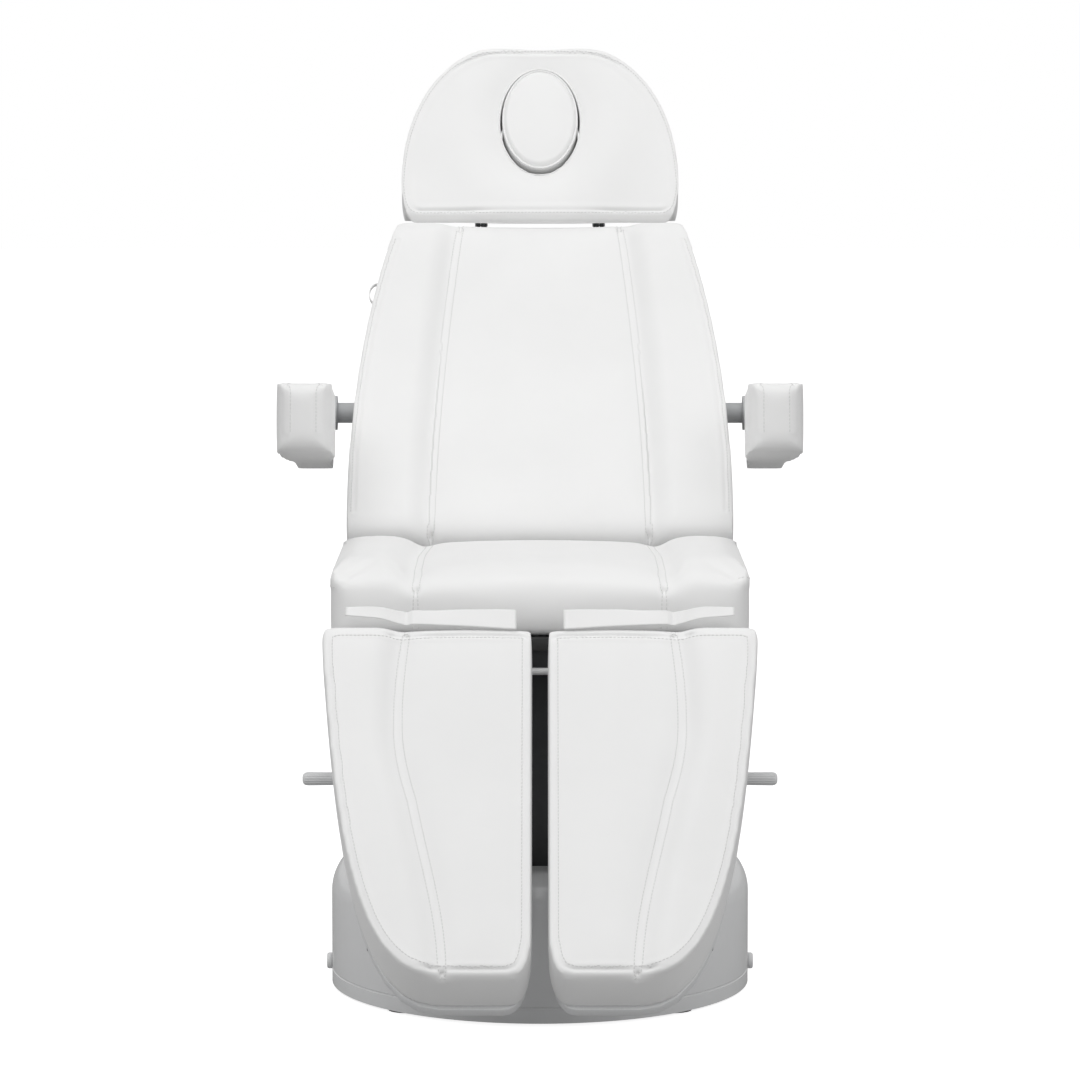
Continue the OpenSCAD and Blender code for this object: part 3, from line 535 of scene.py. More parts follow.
def normals_of(mesh):
    co = np.empty(len(mesh.vertices) * 3)
    mesh.vertex_normals.foreach_get("vector", co)
    return co.reshape(-1, 3)


def move_points(mesh, points):
    mesh.vertices.foreach_set("co", np.ascontiguousarray(points, dtype=np.float32).ravel())
    mesh.update()


def evaluated_mesh(piece):
    """The piece's mesh as its modifiers leave it; the modifiers are then taken off."""
    graph = bpy.context.evaluated_depsgraph_get()
    mesh = bpy.data.meshes.new_from_object(piece.evaluated_get(graph))
    piece.modifiers.clear()
    old = piece.data
    piece.data = mesh
    bpy.data.meshes.remove(old)
    return piece


@contextmanager
def edited(mesh):
    """Opens a mesh for bmesh operations and writes it back."""
    bm = bmesh.new()
    bm.from_mesh(mesh)
    yield bm
    bm.to_mesh(mesh)
    bm.free()


def cad_copy(name, node, matrix, finish):
    """A closed copy of a CAD node, in a section's own frame."""
    mesh = nodes[node].data.copy()
    mesh.name = name
    mesh.transform(matrix.inverted())
    with edited(mesh) as bm:
        bmesh.ops.remove_doubles(bm, verts=bm.verts, dist=0.00002)
    mesh.materials.clear()
    mesh.materials.append(FINISHES[finish])
    piece = bpy.data.objects.new(name, mesh)
    scene.collection.objects.link(piece)
    return piece


def hand_over(piece, body, slot, *replaced):
    """Puts a piece on the body that carries it and hides the CAD nodes it stands for; slot is not used."""
    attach(piece, body)
    if replaced:
        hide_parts(*replaced)


def finish_piece(piece, matrix, body, slot, *replaced):
    """Puts a piece made in a section's frame where that section is, and hands it over."""
    piece.data.transform(matrix)
    if matrix.determinant() < 0.0:
        piece.data.flip_normals()
    hand_over(piece, body, slot, *replaced)


def mirror_piece(piece, name):
    """The left-hand copy of a right-hand piece that is in place."""
    copy = bpy.data.objects.new(name, piece.data.copy())
    copy.data.name = name
    scene.collection.objects.link(copy)
    copy.data.transform(MIRROR)
    copy.data.flip_normals()
    return copy


# ---------------------------------------------------------------- Padding

PADS = []


class Pad:
    """One padded piece. It is drawn, filled and sewn in its section's own frame."""

    def __init__(self, name, node, matrix, voxel, shrink, fill, spread=None, rounding=9):
        """voxel is the mesh's spacing, shrink how far the cover is drawn in before it is filled, fill how
        far the filling may push it, and spread each point's share of the drawing in across the face."""
        self.name = name
        self.node = node
        self.matrix = matrix
        self.fill = fill
        self.overhang = (0.0, 0.0)
        self.piece = cad_copy(name, node, matrix, "leatherette")
        remesh = self.piece.modifiers.new("even", "REMESH")
        remesh.mode = "VOXEL"
        remesh.voxel_size = voxel
        evaluated_mesh(self.piece)
        mesh = self.piece.data
        smooth_mesh(mesh, rounding)
        points, move = points_of(mesh), shrink * normals_of(mesh)
        if spread:
            move[:, :2] *= spread(points)[:, None]
        move_points(mesh, points - move)
        self.drawn_in = move
        PADS.append(self)

    def sew(self, seams, held=0.012):
        """Holds the cover down within a distance of its seams and at the board behind it."""
        self.seams = seams
        points = points_of(self.piece.data)
        low = points[:, 2].min()
        grip = np.clip(1.5 - (points[:, 2] - low) / 0.012, 0.0, 1.0)
        for seam in seams:
            grip = np.maximum(grip, np.clip(1.6 - distance_to(points, seam.path) / held, 0.0, 1.0))
        self.grip = grip

    def hang(self):
        """Adds the cloth that the filling will stretch."""
        group = self.piece.vertex_groups.new(name="held")
        for level in range(1, 11):
            members = np.nonzero((self.grip * 10).astype(int) == level)[0]
            group.add(members.tolist(), level / 10.0, "REPLACE")
        cloth = self.piece.modifiers.new("cover", "CLOTH")
        cloth.settings.quality = 4
        cloth.settings.mass = 0.35
        cloth.settings.tension_stiffness = 18.0
        cloth.settings.compression_stiffness = 12.0
        cloth.settings.shear_stiffness = 6.0
        cloth.settings.bending_stiffness = 1.2
        cloth.settings.use_pressure = True
        cloth.settings.uniform_pressure_force = 4.0
        cloth.settings.vertex_group_mass = "held"
        cloth.settings.pin_stiffness = 1.0
        cloth.settings.effector_weights.gravity = 0.0
        cloth.point_cache.frame_end = SIMULATED_FRAMES

    def take(self):
        """Keeps the stretched cover, with no point further out than the filling can push it."""
        start = points_of(self.piece.data)
        graph = bpy.context.evaluated_depsgraph_get()
        stretched = points_of(self.piece.evaluated_get(graph).data)
        self.piece.modifiers.clear()
        self.piece.vertex_groups.clear()
        move_points(self.piece.data, start + capped(stretched - start, self.fill))

    def refine(self, reach=0.012):
        """Smooth, dense enough for the seams, and then sewn."""
        level = self.piece.modifiers.new("smooth", "SUBSURF")
        level.levels = level.render_levels = 1
        evaluated_mesh(self.piece)
        mesh = self.piece.data
        near = distance_to_all(points_of(mesh), self.seams) < reach
        with edited(mesh) as bm:
            bm.verts.ensure_lookup_table()
            edges = [e for e in bm.edges if near[e.verts[0].index] and near[e.verts[1].index]]
            bmesh.ops.subdivide_edges(bm, edges=edges, cuts=1, use_grid_fill=True)
        set_smooth(self.piece)

    def shape(self, change):
        """Moves every point by change(points, normals)."""
        mesh = self.piece.data
        points = points_of(mesh)
        move_points(mesh, points + change(points, normals_of(mesh)))

    def fit(self):
        """Brings the pad back to the outline of its board after the filling has moved it."""
        mesh = self.piece.data
        points = points_of(mesh)
        low, high = node_box(self.node, self.matrix)
        low.y -= self.overhang[0]
        high.y += self.overhang[1]
        for k in (0, 1):
            near, far = points[:, k].min(), points[:, k].max()
            points[:, k] = low[k] + (points[:, k] - near) * (high[k] - low[k]) / (far - near)
        points[:, 2] += low[2] - points[:, 2].min()
        move_points(mesh, points)

    def carve(self):
        """Sinks the seams into the cover, with a soft lip on both sides."""
        for seam in self.seams:
            mesh = self.piece.data
            points, normals = points_of(mesh), normals_of(mesh)
            far = distance_to(points, seam.path)
            fold = -seam.depth * np.exp(-(far / seam.width) ** 2)
            lip = seam.lip * np.exp(-((far - 2.6 * seam.width) / (1.6 * seam.width)) ** 2)
            move_points(mesh, points + (fold + lip)[:, None] * normals)


SIMULATED_FRAMES = 20


def capped(move, most):
    size = np.linalg.norm(move, axis=1)[:, None]
    return move * np.minimum(1.0, most / np.maximum(size, 1e-9))


def smooth_mesh(mesh, times):
    with edited(mesh) as bm:
        for _ in range(times):
            bmesh.ops.smooth_vert(bm, verts=bm.verts, factor=0.5, use_axis_x=True, use_axis_y=True, use_axis_z=True)


def distance_to(points, path):
    """Distance of every point from the nearest point of a path whose points are close together."""
    tree = KDTree(len(path))
    for k, p in enumerate(path):
        tree.insert(p, k)
    tree.balance()
    low, high = path.min(0) - 0.05, path.max(0) + 0.05
    far = np.full(len(points), 1.0)
    inside = np.nonzero(((points > low) & (points < high)).all(1))[0]
    for i in inside:
        far[i] = tree.find(points[i])[2]
    return far


def distance_to_all(points, seams):
    return np.min([distance_to(points, seam.path) for seam in seams], axis=0)


JOIN = {"depth": 0.0046, "width": 0.0034}
EDGE = {"depth": 0.0034, "width": 0.0026}


class Seam:
    """A line of sewing on a pad: where it runs, how deep it pulls, and its rows of stitches."""

    def __init__(self, path, depth=0.0022, width=0.0026, lip=0.0008, rows=(-0.0042, 0.0042), closed=False):
        self.path = path
        self.depth = depth
        self.width = width
        self.lip = lip
        self.rows = rows
        self.closed = closed


def resampled(path, step, closed=False):
    if closed:
        path = np.vstack([path, path[:1]])
    length = np.r_[0.0, np.cumsum(np.linalg.norm(np.diff(path, axis=0), axis=1))]
    count = max(2, int(round(length[-1] / step)) + 1)
    at = np.linspace(0.0, length[-1], count)
    even = np.column_stack([np.interp(at, length, path[:, k]) for k in range(path.shape[1])])
    return even[:-1] if closed else even


def tree_of(mesh):
    bm = bmesh.new()
    bm.from_mesh(mesh)
    tree = BVHTree.FromBMesh(bm)
    bm.free()
    return tree


def laid(tree, path, step=0.002, closed=False):
    """A guide line drawn onto a pad: the nearest points of its surface, evenly spaced."""
    points = np.array([tree.find_nearest(Vector(p))[0] for p in resampled(path, step, closed)])
    for _ in range(2):
        if closed:
            points = (np.roll(points, 1, 0) + 2 * points + np.roll(points, -1, 0)) / 4.0
        else:
            points[1:-1] = (points[:-2] + 2 * points[1:-1] + points[2:]) / 4.0
    return resampled(points, step, closed)


def girth(x_of_y, low, high, rounds):
    """A guide round a pad from its lower end over its face to its upper end; rounds are the
    radii of the lower and upper face corners."""
    r0, r1 = rounds
    over = np.vstack([
        [[low[1], low[2] + 0.010]],
        arc((low[1] + r0, high[2] - r0), r0, 180, 90),
        arc((high[1] - r1, high[2] - r1), r1, 90, 0),
        [[high[1], low[2] + 0.010]],
    ])
    over = resampled(over, 0.004)
    return np.column_stack([x_of_y(over[:, 0]), over])


def round_the_face(outline, inset, z):
    """A guide along the edge of a pad's face, a little inside its outline."""
    points = resampled(outline, 0.004, closed=True)
    return np.column_stack([points - inset * outward(points), np.full(len(points), z)])


# ---------------------------------------------------------------- Stitches


def geometry_tree(name, inputs):
    tree = bpy.data.node_groups.new(name, "GeometryNodeTree")
    tree.interface.new_socket("Geometry", in_out="INPUT", socket_type="NodeSocketGeometry")
    for label, kind in inputs:
        tree.interface.new_socket(label, in_out="INPUT", socket_type=kind)
    tree.interface.new_socket("Geometry", in_out="OUTPUT", socket_type="NodeSocketGeometry")
    return tree, tree.nodes.new("NodeGroupInput"), tree.nodes.new("NodeGroupOutput")


def tree_node(tree, kind, settings=(), links=()):
    node = tree.nodes.new(kind)
    for key, value in dict(settings).items():
        setattr(node, key, value)
    for key, value in dict(links).items():
        if isinstance(value, bpy.types.NodeSocket):
            tree.links.new(value, node.inputs[key])
        else:
            node.inputs[key].default_value = value
    return node


def stitch_tree():
    """Lays short threads end to end along every line of the piece."""
    tree, given, made = geometry_tree("stitches", [
        ("Pitch", "NodeSocketFloat"), ("Length", "NodeSocketFloat"), ("Thread", "NodeSocketFloat"),
        ("Material", "NodeSocketMaterial")])
    curve = tree_node(tree, "GeometryNodeMeshToCurve", links={"Mesh": given.outputs["Geometry"]})
    points = tree_node(tree, "GeometryNodeCurveToPoints", {"mode": "LENGTH"},
                       {"Curve": curve.outputs["Curve"], "Length": given.outputs["Pitch"]})
    ball = tree_node(tree, "GeometryNodeMeshUVSphere", links={"Segments": 6, "Rings": 4, "Radius": 0.5})
    size = tree_node(tree, "ShaderNodeCombineXYZ", links={
        "X": given.outputs["Thread"], "Y": given.outputs["Thread"], "Z": given.outputs["Length"]})
    placed = tree_node(tree, "GeometryNodeInstanceOnPoints", links={
        "Points": points.outputs["Points"], "Instance": ball.outputs["Mesh"],
        "Rotation": points.outputs["Rotation"], "Scale": size.outputs["Vector"]})
    real = tree_node(tree, "GeometryNodeRealizeInstances", links={"Geometry": placed.outputs["Instances"]})
    last = tree_node(tree, "GeometryNodeSetMaterial", links={
        "Geometry": real.outputs["Geometry"], "Material": given.outputs["Material"]})
    tree.links.new(last.outputs["Geometry"], made.inputs["Geometry"])
    return tree


def run_tree(piece, tree, **values):
    """Runs a node tree on a piece and keeps the result as a plain mesh."""
    modifier = piece.modifiers.new(tree.name, "NODES")
    modifier.node_group = tree
    sockets = {s.name: s.identifier for s in tree.interface.items_tree if s.item_type == "SOCKET"}
    for label, value in values.items():
        modifier[sockets[label]] = value
    return evaluated_mesh(piece)


STITCH_PITCH = 0.0056
STITCH_LENGTH = 0.0046
THREAD_WIDTH = 0.0015


def sew_rows(name, pad):
    """The visible threads of all of a pad's seams, in the thread finish whose grey is painted shade for the needle
    holes.
    """
    tree = tree_of(pad.piece.data)
    points, edges = [], []
    for seam in pad.seams:
        side = sideways(tree, seam)
        for offset in seam.rows:
            guide = seam.path + offset * side
            row = np.array([lifted(tree, p) for p in guide])
            start = len(points)
            points.extend(row)
            edges.extend((start + k, start + k + 1) for k in range(len(row) - 1))
    mesh = bpy.data.meshes.new(name)
    mesh.from_pydata([tuple(p) for p in points], edges, [])
    mesh.materials.append(FINISHES["thread"])
    piece = bpy.data.objects.new(name, mesh)
    scene.collection.objects.link(piece)
    run_tree(piece, STITCHES, Pitch=STITCH_PITCH, Length=STITCH_LENGTH, Thread=THREAD_WIDTH,
             Material=FINISHES["thread"])
    set_smooth(piece)
    return piece


def sideways(tree, seam):
    """Directions across a seam, in the surface."""
    path = seam.path
    if seam.closed:
        along = np.roll(path, -1, 0) - np.roll(path, 1, 0)
    else:
        along = np.gradient(path, axis=0)
    out = np.array([tree.find_nearest(Vector(p))[1] for p in path])
    side = np.cross(along, out)
    return side / np.linalg.norm(side, axis=1)[:, None]


def lifted(tree, point):
    """The surface point nearest to a guide point, a hair proud of the leatherette."""
    at, normal = tree.find_nearest(Vector(point))[:2]
    return at + 0.0001 * normal


# ---------------------------------------------------------------- Cushions


def smooth_step(value, low, high):
    t = np.clip((value - low) / (high - low), 0.0, 1.0)
    return t * t * (3.0 - 2.0 * t)


def facing(normals, low=0.15, high=0.75):
    """1 on the padded face, 0 on the sides and the back."""
    return smooth_step(normals[:, 2], low, high)


def raised(points, amount):
    """Lifts a pad's face by amount, fading to nothing half way down its sides."""
    z = points[:, 2]
    share = smooth_step(z, (z.min() + z.max()) / 2, z.max() - 0.012)
    return (amount * share)[:, None] * np.array([0.0, 0.0, 1.0])


SEAT_SEAM = 0.177


def seat_seam_x(y):
    return SEAT_SEAM - 0.010 * smooth_step(y, -0.05, 0.20)


def make_seat():
    """Two seams run from front to rear, and one along each side."""
    pad = Pad("seat_cushion_padded", "seat_cushion", SEAT, 0.006, 0.007, 0.009)
    low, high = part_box("seat_cushion")
    tree = tree_of(pad.piece.data)
    seams = []
    for side in (-1.0, 1.0):
        guide = girth(lambda y: side * seat_seam_x(y), low, high, (0.045, 0.045))
        seams.append(Seam(laid(tree, guide), **JOIN))
    for side in (-1.0, 1.0):
        y = np.linspace(low.y + 0.012, high.y - 0.012, 60)
        edge = np.column_stack([np.full(60, side * high.x), y, np.full(60, high.z - 0.030)])
        seams.append(Seam(laid(tree, edge), depth=0.0030, width=0.0026, rows=(-0.0045,)))
    pad.sew(seams)
    return pad


def shape_seat(points, _):
    x, y = np.abs(points[:, 0]), points[:, 1]
    seam = seat_seam_x(y)
    wings = 0.009 * smooth_step(x, seam - 0.002, seam + 0.045) * (1.0 - 0.5 * smooth_step(x, 0.25, 0.30))
    crown = 0.004 * (1.0 - (x / 0.18) ** 2).clip(0.0)
    valley = -0.005 * np.exp(-((x - seam) / 0.016) ** 2)
    front = 0.006 * smooth_step(-y, 0.20, 0.29)
    return raised(points, wings + crown + valley - front)


def back_seam_x(s):
    t = np.clip((s - 0.02) / 0.62, 0.0, 1.0)
    return 0.167 - 0.010 * t - 0.031 * t * t


def make_back():
    """Two seams close in towards the shoulders, and one runs inside each side."""
    low, high = node_box("back_cushion", BACK)
    pad = Pad("back_cushion_padded", "back_cushion", BACK, 0.006, 0.007, 0.009)
    pad.overhang = (0.0, 0.006)
    tree = tree_of(pad.piece.data)
    seams = []
    for side in (-1.0, 1.0):
        guide = girth(lambda s: side * back_seam_x(s), low, high, (0.050, 0.045))
        seams.append(Seam(laid(tree, guide), **JOIN))
    outline = back_outline()
    sides = outline[outline[:, 1] < high.y - 0.030]
    for side in (-1.0, 1.0):
        edge = sides[(sides[:, 0] * side > 0.1) & (sides[:, 1] > low.y + 0.03)]
        edge = edge[np.argsort(edge[:, 1])]
        guide = np.column_stack([edge - (side * 0.011, 0.0), np.full(len(edge), high.z + 0.004)])
        seams.append(Seam(laid(tree, guide), rows=(side * 0.0048,), **EDGE))
    pad.sew(seams)
    return pad


def shape_back(points, _):
    x, s = np.abs(points[:, 0]), points[:, 1]
    seam = back_seam_x(s)
    wings = 0.010 * smooth_step(x, seam - 0.002, seam + 0.040)
    dish = -0.005 * (1.0 - (x / seam) ** 2).clip(0.0) * smooth_step(s, 0.03, 0.16)
    lumbar = 0.004 * np.exp(-((s - 0.20) / 0.11) ** 2) * (x < seam)
    valley = -0.004 * np.exp(-((x - seam) / 0.015) ** 2)
    return raised(points, wings + dish + lumbar + valley)


def plug_place():
    """Middle and half sizes of the face hole's plug, in the head's frame."""
    low, high = node_box("face_plug", HEAD)
    return (low + high) / 2, (high - low) / 2


def plug_outline(gap, n=96):
    middle, half = plug_place()
    a = np.linspace(0.0, 2.0 * math.pi, n, endpoint=False)
    return np.column_stack([middle.x + (half.x + gap) * np.cos(a), middle.y + (half.y + gap) * np.sin(a)])


def make_head():
    """Sewn round its edge; the cover is held round the face hole."""
    low, high = node_box("head_cushion", HEAD)
    middle, half = plug_place()

    def spread(points):
        hole = np.hypot((points[:, 0] - middle.x) / half.x, (points[:, 1] - middle.y) / half.y)
        return smooth_step(hole, 1.10, 1.35)

    pad = Pad("head_cushion_padded", "head_cushion", HEAD, 0.0045, 0.006, 0.008, spread, 4)
    pad.overhang = (0.005, 0.0)
    tree = tree_of(pad.piece.data)
    outline = head_outline()
    edge = Seam(laid(tree, round_the_face(outline, 0.008, high.z - 0.006), closed=True),
                rows=(0.0048,), closed=True, **EDGE)
    hem = Seam(laid(tree, round_the_face(outline, -0.004, low.z + 0.018), closed=True), depth=0.0012,
               width=0.0020, rows=(), closed=True)
    rim = Seam(laid(tree, round_the_face(plug_outline(0.004), -0.004, high.z), closed=True), depth=0.0,
               width=0.003, lip=0.0, rows=(), closed=True)
    pad.sew([edge, hem, rim])
    points = points_of(pad.piece.data)
    middle, half = plug_place()
    hole = np.hypot((points[:, 0] - middle.x) / half.x, (points[:, 1] - middle.y) / half.y)
    pad.grip = np.maximum(pad.grip, np.clip(1.4 - (hole - 1.0) / 0.20, 0.0, 1.0))
    return pad


def shape_head(points, normals):
    middle, half = plug_place()
    x, y = points[:, 0] - middle.x, points[:, 1] - middle.y
    hole = np.hypot(x / half.x, y / half.y)
    away = (hole - 1.0) * half.x
    dip = -0.0035 * np.exp(-(away / 0.020) ** 2)
    lift = 0.005 * np.exp(-((away - 0.055) / 0.040) ** 2)
    return ((dip + lift) * facing(normals))[:, None] * normals


def make_plug():
    pad = Pad("face_plug_padded", "face_plug", HEAD, 0.0035, 0.003, 0.005, lambda points: 0.0 * points[:, 0], 3)
    high = node_box("face_plug", HEAD)[1]
    tree = tree_of(pad.piece.data)
    rim = Seam(laid(tree, round_the_face(plug_outline(0.0), 0.0, high.z - 0.006), closed=True), depth=0.0008,
               width=0.0016, lip=0.0, rows=(), closed=True)
    pad.sew([rim])
    points = points_of(pad.piece.data)
    middle, half = plug_place()
    edge = np.hypot((points[:, 0] - middle.x) / half.x, (points[:, 1] - middle.y) / half.y)
    pad.grip = np.maximum(pad.grip, smooth_step(edge, 0.80, 0.96))
    return pad


def shape_plug(points, normals):
    middle, half = plug_place()
    edge = np.hypot((points[:, 0] - middle.x) / half.x, (points[:, 1] - middle.y) / half.y)
    crown = 0.0025 * (1.0 - edge ** 2).clip(0.0) - 0.004 * smooth_step(edge, 0.86, 1.0)
    return (crown * facing(normals))[:, None] * normals


def leg_seam_x(y):
    """The seam between a leg cushion's flat inner part and its raised outer part."""
    t = np.clip((-y - 0.019) / 0.56, 0.0, 1.0)
    return 0.187 + 0.010 * np.sin(math.pi * np.minimum(t * 2.0, 1.0)) - 0.056 * smooth_step(t, 0.30, 1.0)


def make_leg():
    """The right leg cushion; the left one is its mirror image."""
    pad = Pad("leg_cushion_right_padded", "leg_cushion_right", LEG, 0.006, 0.007, 0.009)
    pad.overhang = (0.0, 0.005)
    low, high = node_box("leg_cushion_right", LEG)
    tree = tree_of(pad.piece.data)
    guide = girth(leg_seam_x, low, high, (0.022, 0.025))
    guide = guide[(guide[:, 2] > high.z - 0.030) | (guide[:, 1] > low.y + 0.05)]
    middle = Seam(laid(tree, guide), depth=0.0044, width=0.0032)
    edge = Seam(laid(tree, round_the_face(leg_outline(), 0.007, high.z - 0.007), closed=True),
                rows=(-0.0050,), closed=True, **EDGE)
    hem = Seam(laid(tree, round_the_face(leg_outline(), -0.003, low.z + 0.004), closed=True), depth=0.0,
               width=0.002, lip=0.0, rows=(), closed=True)
    pad.sew([middle, edge, hem])
    return pad


def shape_leg(points, _):
    x, y = points[:, 0], points[:, 1]
    seam = leg_seam_x(y)
    bolster = 0.009 * smooth_step(x, seam - 0.002, seam + 0.040)
    valley = -0.004 * np.exp(-((x - seam) / 0.015) ** 2)
    crown = 0.003 * np.exp(-((x - 0.10) / 0.06) ** 2)
    return raised(points, bolster + valley + crown)


def make_arm():
    """The right armrest pad, sewn up its front and along its top near both sides."""
    pad = Pad("armrest_pad_right_padded", "armrest_pad_right", ARM, 0.004, 0.005, 0.007)
    low, high = node_box("armrest_pad_right", ARM)
    tree = tree_of(pad.piece.data)
    front = low.y
    seams = []
    for x in (low.x + 0.016, high.x - 0.016):
        z = np.linspace(low.z + 0.030, high.z - 0.030, 20)
        face = np.column_stack([np.full(20, x), np.full(20, front), z])
        run = np.linspace(front + 0.03, high.y - 0.02, 60)
        top = np.column_stack([np.full(60, x), run, np.full(60, high.z)])
        seams.append(Seam(laid(tree, np.vstack([face, top])), depth=0.0018, width=0.0022,
                          rows=(0.0042,) if x < 0.35 else (-0.0042,)))
    pad.sew(seams)
    return pad


# ---------------------------------------------------------------- Hard parts


def lathe(name, profile, finish, segments=64, flutes=0, flute=0.0):
    """A turned piece along X from its profile of (x, radius), with optional flutes along it."""
    points = []
    for x, r in profile:
        for k in range(segments):
            a = 2.0 * math.pi * k / segments
            radius = r * (1.0 - flute * (0.5 + 0.5 * math.cos(flutes * a))) if flutes else r
            points.append((x, radius * math.cos(a), radius * math.sin(a)))
    faces = quads(len(profile), segments)
    faces.append(tuple(range(segments)))
    faces.append(tuple((len(profile) - 1) * segments + k for k in reversed(range(segments))))
    piece = add_mesh(name, points, faces, finish)
    face_outwards(piece)
    return piece


def face_outwards(piece):
    with edited(piece.data) as bm:
        bmesh.ops.remove_doubles(bm, verts=bm.verts, dist=0.000005)
        bmesh.ops.recalc_face_normals(bm, faces=bm.faces)


def rounded_end(x, r, corner, n=6):
    """Profile points of a rounded rim at x, from the middle of the end face to the full radius."""
    a = np.linspace(0.0, math.pi / 2, n)
    return [(x, 0.0001)] + [(x + corner * (1 - math.cos(t)), r - corner + corner * math.sin(t)) for t in a]


def softened(name, node, finish, width, segments):
    """A copy of a CAD node with its sharp edges broken."""
    piece = cad_copy(name, node, Matrix.Identity(4), finish)
    with edited(piece.data) as bm:
        bmesh.ops.dissolve_limit(bm, angle_limit=math.radians(1.0), verts=bm.verts, edges=bm.edges)
    bevel = piece.modifiers.new("edges", "BEVEL")
    bevel.width = width
    bevel.segments = segments
    bevel.limit_method = "ANGLE"
    bevel.angle_limit = math.radians(35.0)
    bevel.use_clamp_overlap = True
    bevel.harden_normals = False
    evaluated_mesh(piece)
    set_smooth(piece)
    bpy.context.view_layer.objects.active = piece
    piece.data.set_sharp_from_angle(angle=math.radians(35.0))
    return piece


def cover_height(x, y, half_x, half_y, top, shoulder):
    """Height of the base cover's surface over a point inside its outline."""
    inset = shoulder
    for _ in range(30):
        a, b = half_x - inset, half_y - inset
        if (x / a) ** 2 + (y / b) ** 2 <= 1.0:
            break
        inset -= shoulder / 30.0
    c = 1.0 - max(inset, 0.0) / shoulder
    return top - shoulder + shoulder * math.sqrt(max(0.0, 1.0 - c * c))


def make_base_cover():
    """A moulded oval shell with a groove above its foot and a turned-in edge round the arms' opening."""
    low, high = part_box("base_cover")
    half_x, half_y, top = high.x, high.y, high.z
    shoulder, plinth, n = 0.070, 0.020, 256
    angles = np.linspace(0.0, 2.0 * math.pi, n, endpoint=False)
    rings = [(0.0, low.z), (0.0, low.z + plinth), (0.0012, low.z + plinth + 0.0010),
             (0.0012, low.z + plinth + 0.0026), (0.0, low.z + plinth + 0.0036), (0.0, 0.08), (0.0, 0.11)]
    rings += [(shoulder * (1.0 - math.cos(a)), top - shoulder + shoulder * math.sin(a))
              for a in np.linspace(0.0, math.pi / 2, 20)]
    points = [((half_x - i) * math.cos(a), (half_y - i) * math.sin(a), z) for i, z in rings for a in angles]
    open_x, open_front, open_rear = 0.155, -0.230, high.y - 0.042
    corner = 0.016
    opening = closed(
        arc((open_x - corner, open_front + corner), corner, -90, 0),
        arc((open_x - corner, open_rear - corner), corner, 0, 90),
        arc((-open_x + corner, open_rear - corner), corner, 90, 180),
        arc((-open_x + corner, open_front + corner), corner, 180, 270))
    ring_edge = resampled(opening, 0.004, closed=True)
    bearing = np.unwrap(np.arctan2(ring_edge[:, 1] / half_y, ring_edge[:, 0] / half_x))
    order = np.argsort(bearing)
    cycle = np.r_[bearing[order] - 2 * math.pi, bearing[order], bearing[order] + 2 * math.pi]
    along_x = np.tile(ring_edge[order, 0], 3)
    along_y = np.tile(ring_edge[order, 1], 3)
    hem = [(0.0, 0.0), (0.0008, -0.0004), (0.0012, -0.0016), (0.0012, -0.005)]
    for grow, drop in hem:
        for a in angles:
            x, y = np.interp(a, cycle, along_x), np.interp(a, cycle, along_y)
            z = cover_height(x, y, half_x, half_y, top, shoulder)
            scale = 1.0 - grow / math.hypot(x, y)
            points.append((x * scale, y * scale, z + drop))
    cover = add_mesh("base_cover_moulded", points, quads(len(rings) + len(hem), n), "cover_white")
    wall = cover.modifiers.new("wall", "SOLIDIFY")
    wall.thickness = 0.003
    wall.offset = -1.0
    evaluated_mesh(cover)
    set_smooth(cover)
    cover.data.set_sharp_from_angle(angle=math.radians(40.0))
    hand_over(cover, "base", "cover_white", "base_cover")


def make_knobs():
    low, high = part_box("cover_knobs")
    height = (low.z + high.z) / 2
    radius = (high.z - low.z) / 2
    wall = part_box("base_cover")[1].x
    profile = [(high.x - x, r) for x, r in rounded_end(0.0, radius, 0.003)]
    profile += [(wall + 0.0003, radius), (wall + 0.0003, 0.0052), (wall - 0.012, 0.0048), (wall - 0.012, 0.0001)]
    knob = lathe("cover_knob_right", profile, "cover_white", 48)
    knob.data.transform(Matrix.Translation((0.0, (low.y + high.y) / 2, height)))
    left = mirror_piece(knob, "cover_knob_left")
    hand_over(knob, "base", "cover_white", "cover_knobs")
    hand_over(left, "base", "cover_white")


def make_grips():
    for side, name in ((1.0, "right"), (-1.0, "left")):
        low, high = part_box("lever_grip_" + name)
        middle = (low + high) / 2
        radius = (high.z - low.z) / 2
        inner, outer = (low.x, high.x) if side > 0 else (-high.x, -low.x)
        profile = [(outer - x, r) for x, r in rounded_end(0.0, radius * 0.97, 0.006, 9)]
        profile += [(outer - 0.0075, radius), (inner + 0.010, radius * 0.94), (inner + 0.004, radius * 0.96),
                    (inner + 0.001, radius * 0.93), (inner, radius * 0.88), (inner, 0.0001)]
        grip = lathe("lever_grip_fluted_" + name, profile, "grip_white", 96, flutes=16, flute=0.07)
        matrix = Matrix.Translation((0.0, middle.y, middle.z)) @ Matrix.Diagonal((side, 1.0, 1.0, 1.0))
        finish_piece(grip, matrix, "lever_" + name, "grip_white", "lever_grip_" + name)


# ---------------------------------------------------------------- Thin sheets


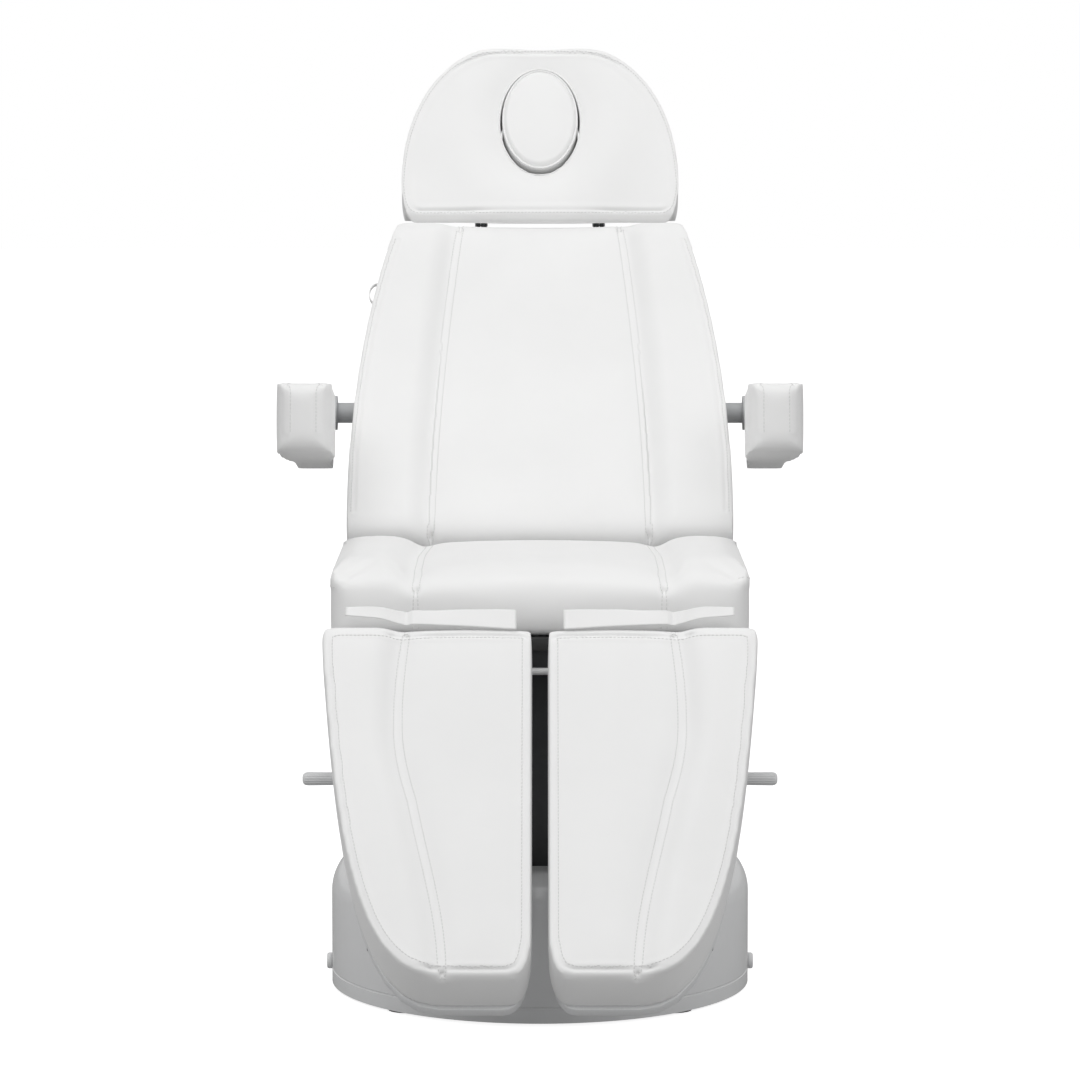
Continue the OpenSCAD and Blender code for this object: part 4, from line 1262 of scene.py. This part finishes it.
def flap(name, cushion):
    """The hemmed leatherette flap that closes the gap between the seat and a leg rest. It is widest
    next to the middle of the bed, and its free edge lies on the cushion."""
    low, high = node_box("leg_flap_right", LEG)
    inner, outer = low.y + 0.008, high.y - 0.014
    n, m = 60, 12
    points = []
    for j in range(m + 1):
        t = j / m
        for k in range(n + 1):
            u = k / n
            x = low.x + (high.x - low.x) * u
            edge = inner + (outer - inner) * u ** 1.3
            y = edge + (high.y - edge) * t
            rest = cushion.ray_cast(Vector((x, min(edge, low.y + 0.004), 0.4)), Vector((0.0, 0.0, -1.0)))[0]
            wave = 0.0009 * math.sin(u * 9.0 + 0.8) * t + 0.0004 * math.sin(u * 23.0)
            points.append((x, y, min(high.z, rest.z + 0.0022) + wave * t))
    sheet = add_mesh(name, points, quads(m + 1, n + 1, wrapped=False), "leatherette")
    return sheet, (high.x - low.x, high.y - inner)


def make_flaps(cushion):
    for side, name in ((1.0, "right"), (-1.0, "left")):
        sheet, size = flap("leg_flap_sheet_" + name, cushion)
        wall = sheet.modifiers.new("cloth", "SOLIDIFY")
        wall.thickness = 0.0014
        wall.offset = 0.0
        evaluated_mesh(sheet)
        set_smooth(sheet)
        matrix = LEG if side > 0 else MIRROR @ LEG
        finish_piece(sheet, matrix, "foot_" + name, "leatherette", "leg_flap_" + name)


BROKEN_EDGES = (("leg_board_right", "foot_right"), ("leg_board_left", "foot_left"), ("seat_board", "seat"),
                ("back_board", "back"), ("head_board", "head"))


def make_broken_edges():
    """Boards whose edges catch the light, as a router leaves them."""
    for node, body in BROKEN_EDGES:
        slot = SLOTS[node]
        piece = softened(node + "_eased", node, slot, 0.0016, 3)
        finish_piece(piece, Matrix.Identity(4), body, slot, node)


def make_tab():
    """A loop of tape caught in the seam at the back's left edge."""
    low, high = node_box("side_tab", BACK)
    n, thick = 28, 0.0016
    middle, half = (low.y + high.y) / 2, (high.y - low.y) / 2 - thick
    root, reach = high.x + 0.012, high.x - low.x + 0.016
    points, faces = [], []
    for k in range(n + 1):
        a = math.pi * k / n
        bulge = math.sin(a) ** 0.7
        for off in (0.0, thick):
            for z in (low.z, high.z):
                points.append((root - (reach - thick + off) * bulge, middle - (half + off) * math.cos(a), z))
    for k in range(n):
        a, b = 4 * k, 4 * k + 4
        for p, q in ((0, 1), (1, 3), (3, 2), (2, 0)):
            faces.append((a + p, a + q, b + q, b + p))
    faces += [(0, 2, 3, 1), (4 * n, 4 * n + 1, 4 * n + 3, 4 * n + 2)]
    tape = add_mesh("side_tab_tape", points, faces, "leatherette")
    face_outwards(tape)
    finish_piece(tape, BACK, "back", "leatherette", "side_tab")


# ---------------------------------------------------------------- The bed

add_camera()
finish_cad_nodes()
add_stage()
STITCHES = stitch_tree()

seat, back, head, plug, leg, arm = make_seat(), make_back(), make_head(), make_plug(), make_leg(), make_arm()
for pad in PADS:
    pad.hang()
for k in range(1, SIMULATED_FRAMES + 1):
    scene.frame_set(k)
for pad in PADS:
    pad.take()
scene.frame_set(1)

FORMS = (
    (seat, shape_seat, "seat"), (back, shape_back, "back"), (head, shape_head, "head"),
    (plug, shape_plug, "face_plug"), (leg, shape_leg, "foot_right"), (arm, None, "armrest_right"))
for pad, form, body in FORMS:
    pad.refine()
    if form:
        pad.shape(form)
    pad.fit()
    pad.carve()
    if pad is leg:
        leg_tree = tree_of(pad.piece.data)
    threads = sew_rows(pad.name.replace("padded", "stitches"), pad) if any(s.rows for s in pad.seams) else None
    finish_piece(pad.piece, pad.matrix, body, "leatherette", pad.node)
    if threads:
        finish_piece(threads, pad.matrix, body, "leatherette")
    if "right" in body:
        left = mirror_piece(pad.piece, pad.name.replace("right", "left"))
        hand_over(left, body.replace("right", "left"), "leatherette", pad.node.replace("right", "left"))
        if threads:
            copy = mirror_piece(threads, threads.name.replace("right", "left"))
            hand_over(copy, body.replace("right", "left"), "leatherette")

make_base_cover()
make_knobs()
make_grips()
make_flaps(leg_tree)
make_tab()
make_broken_edges()
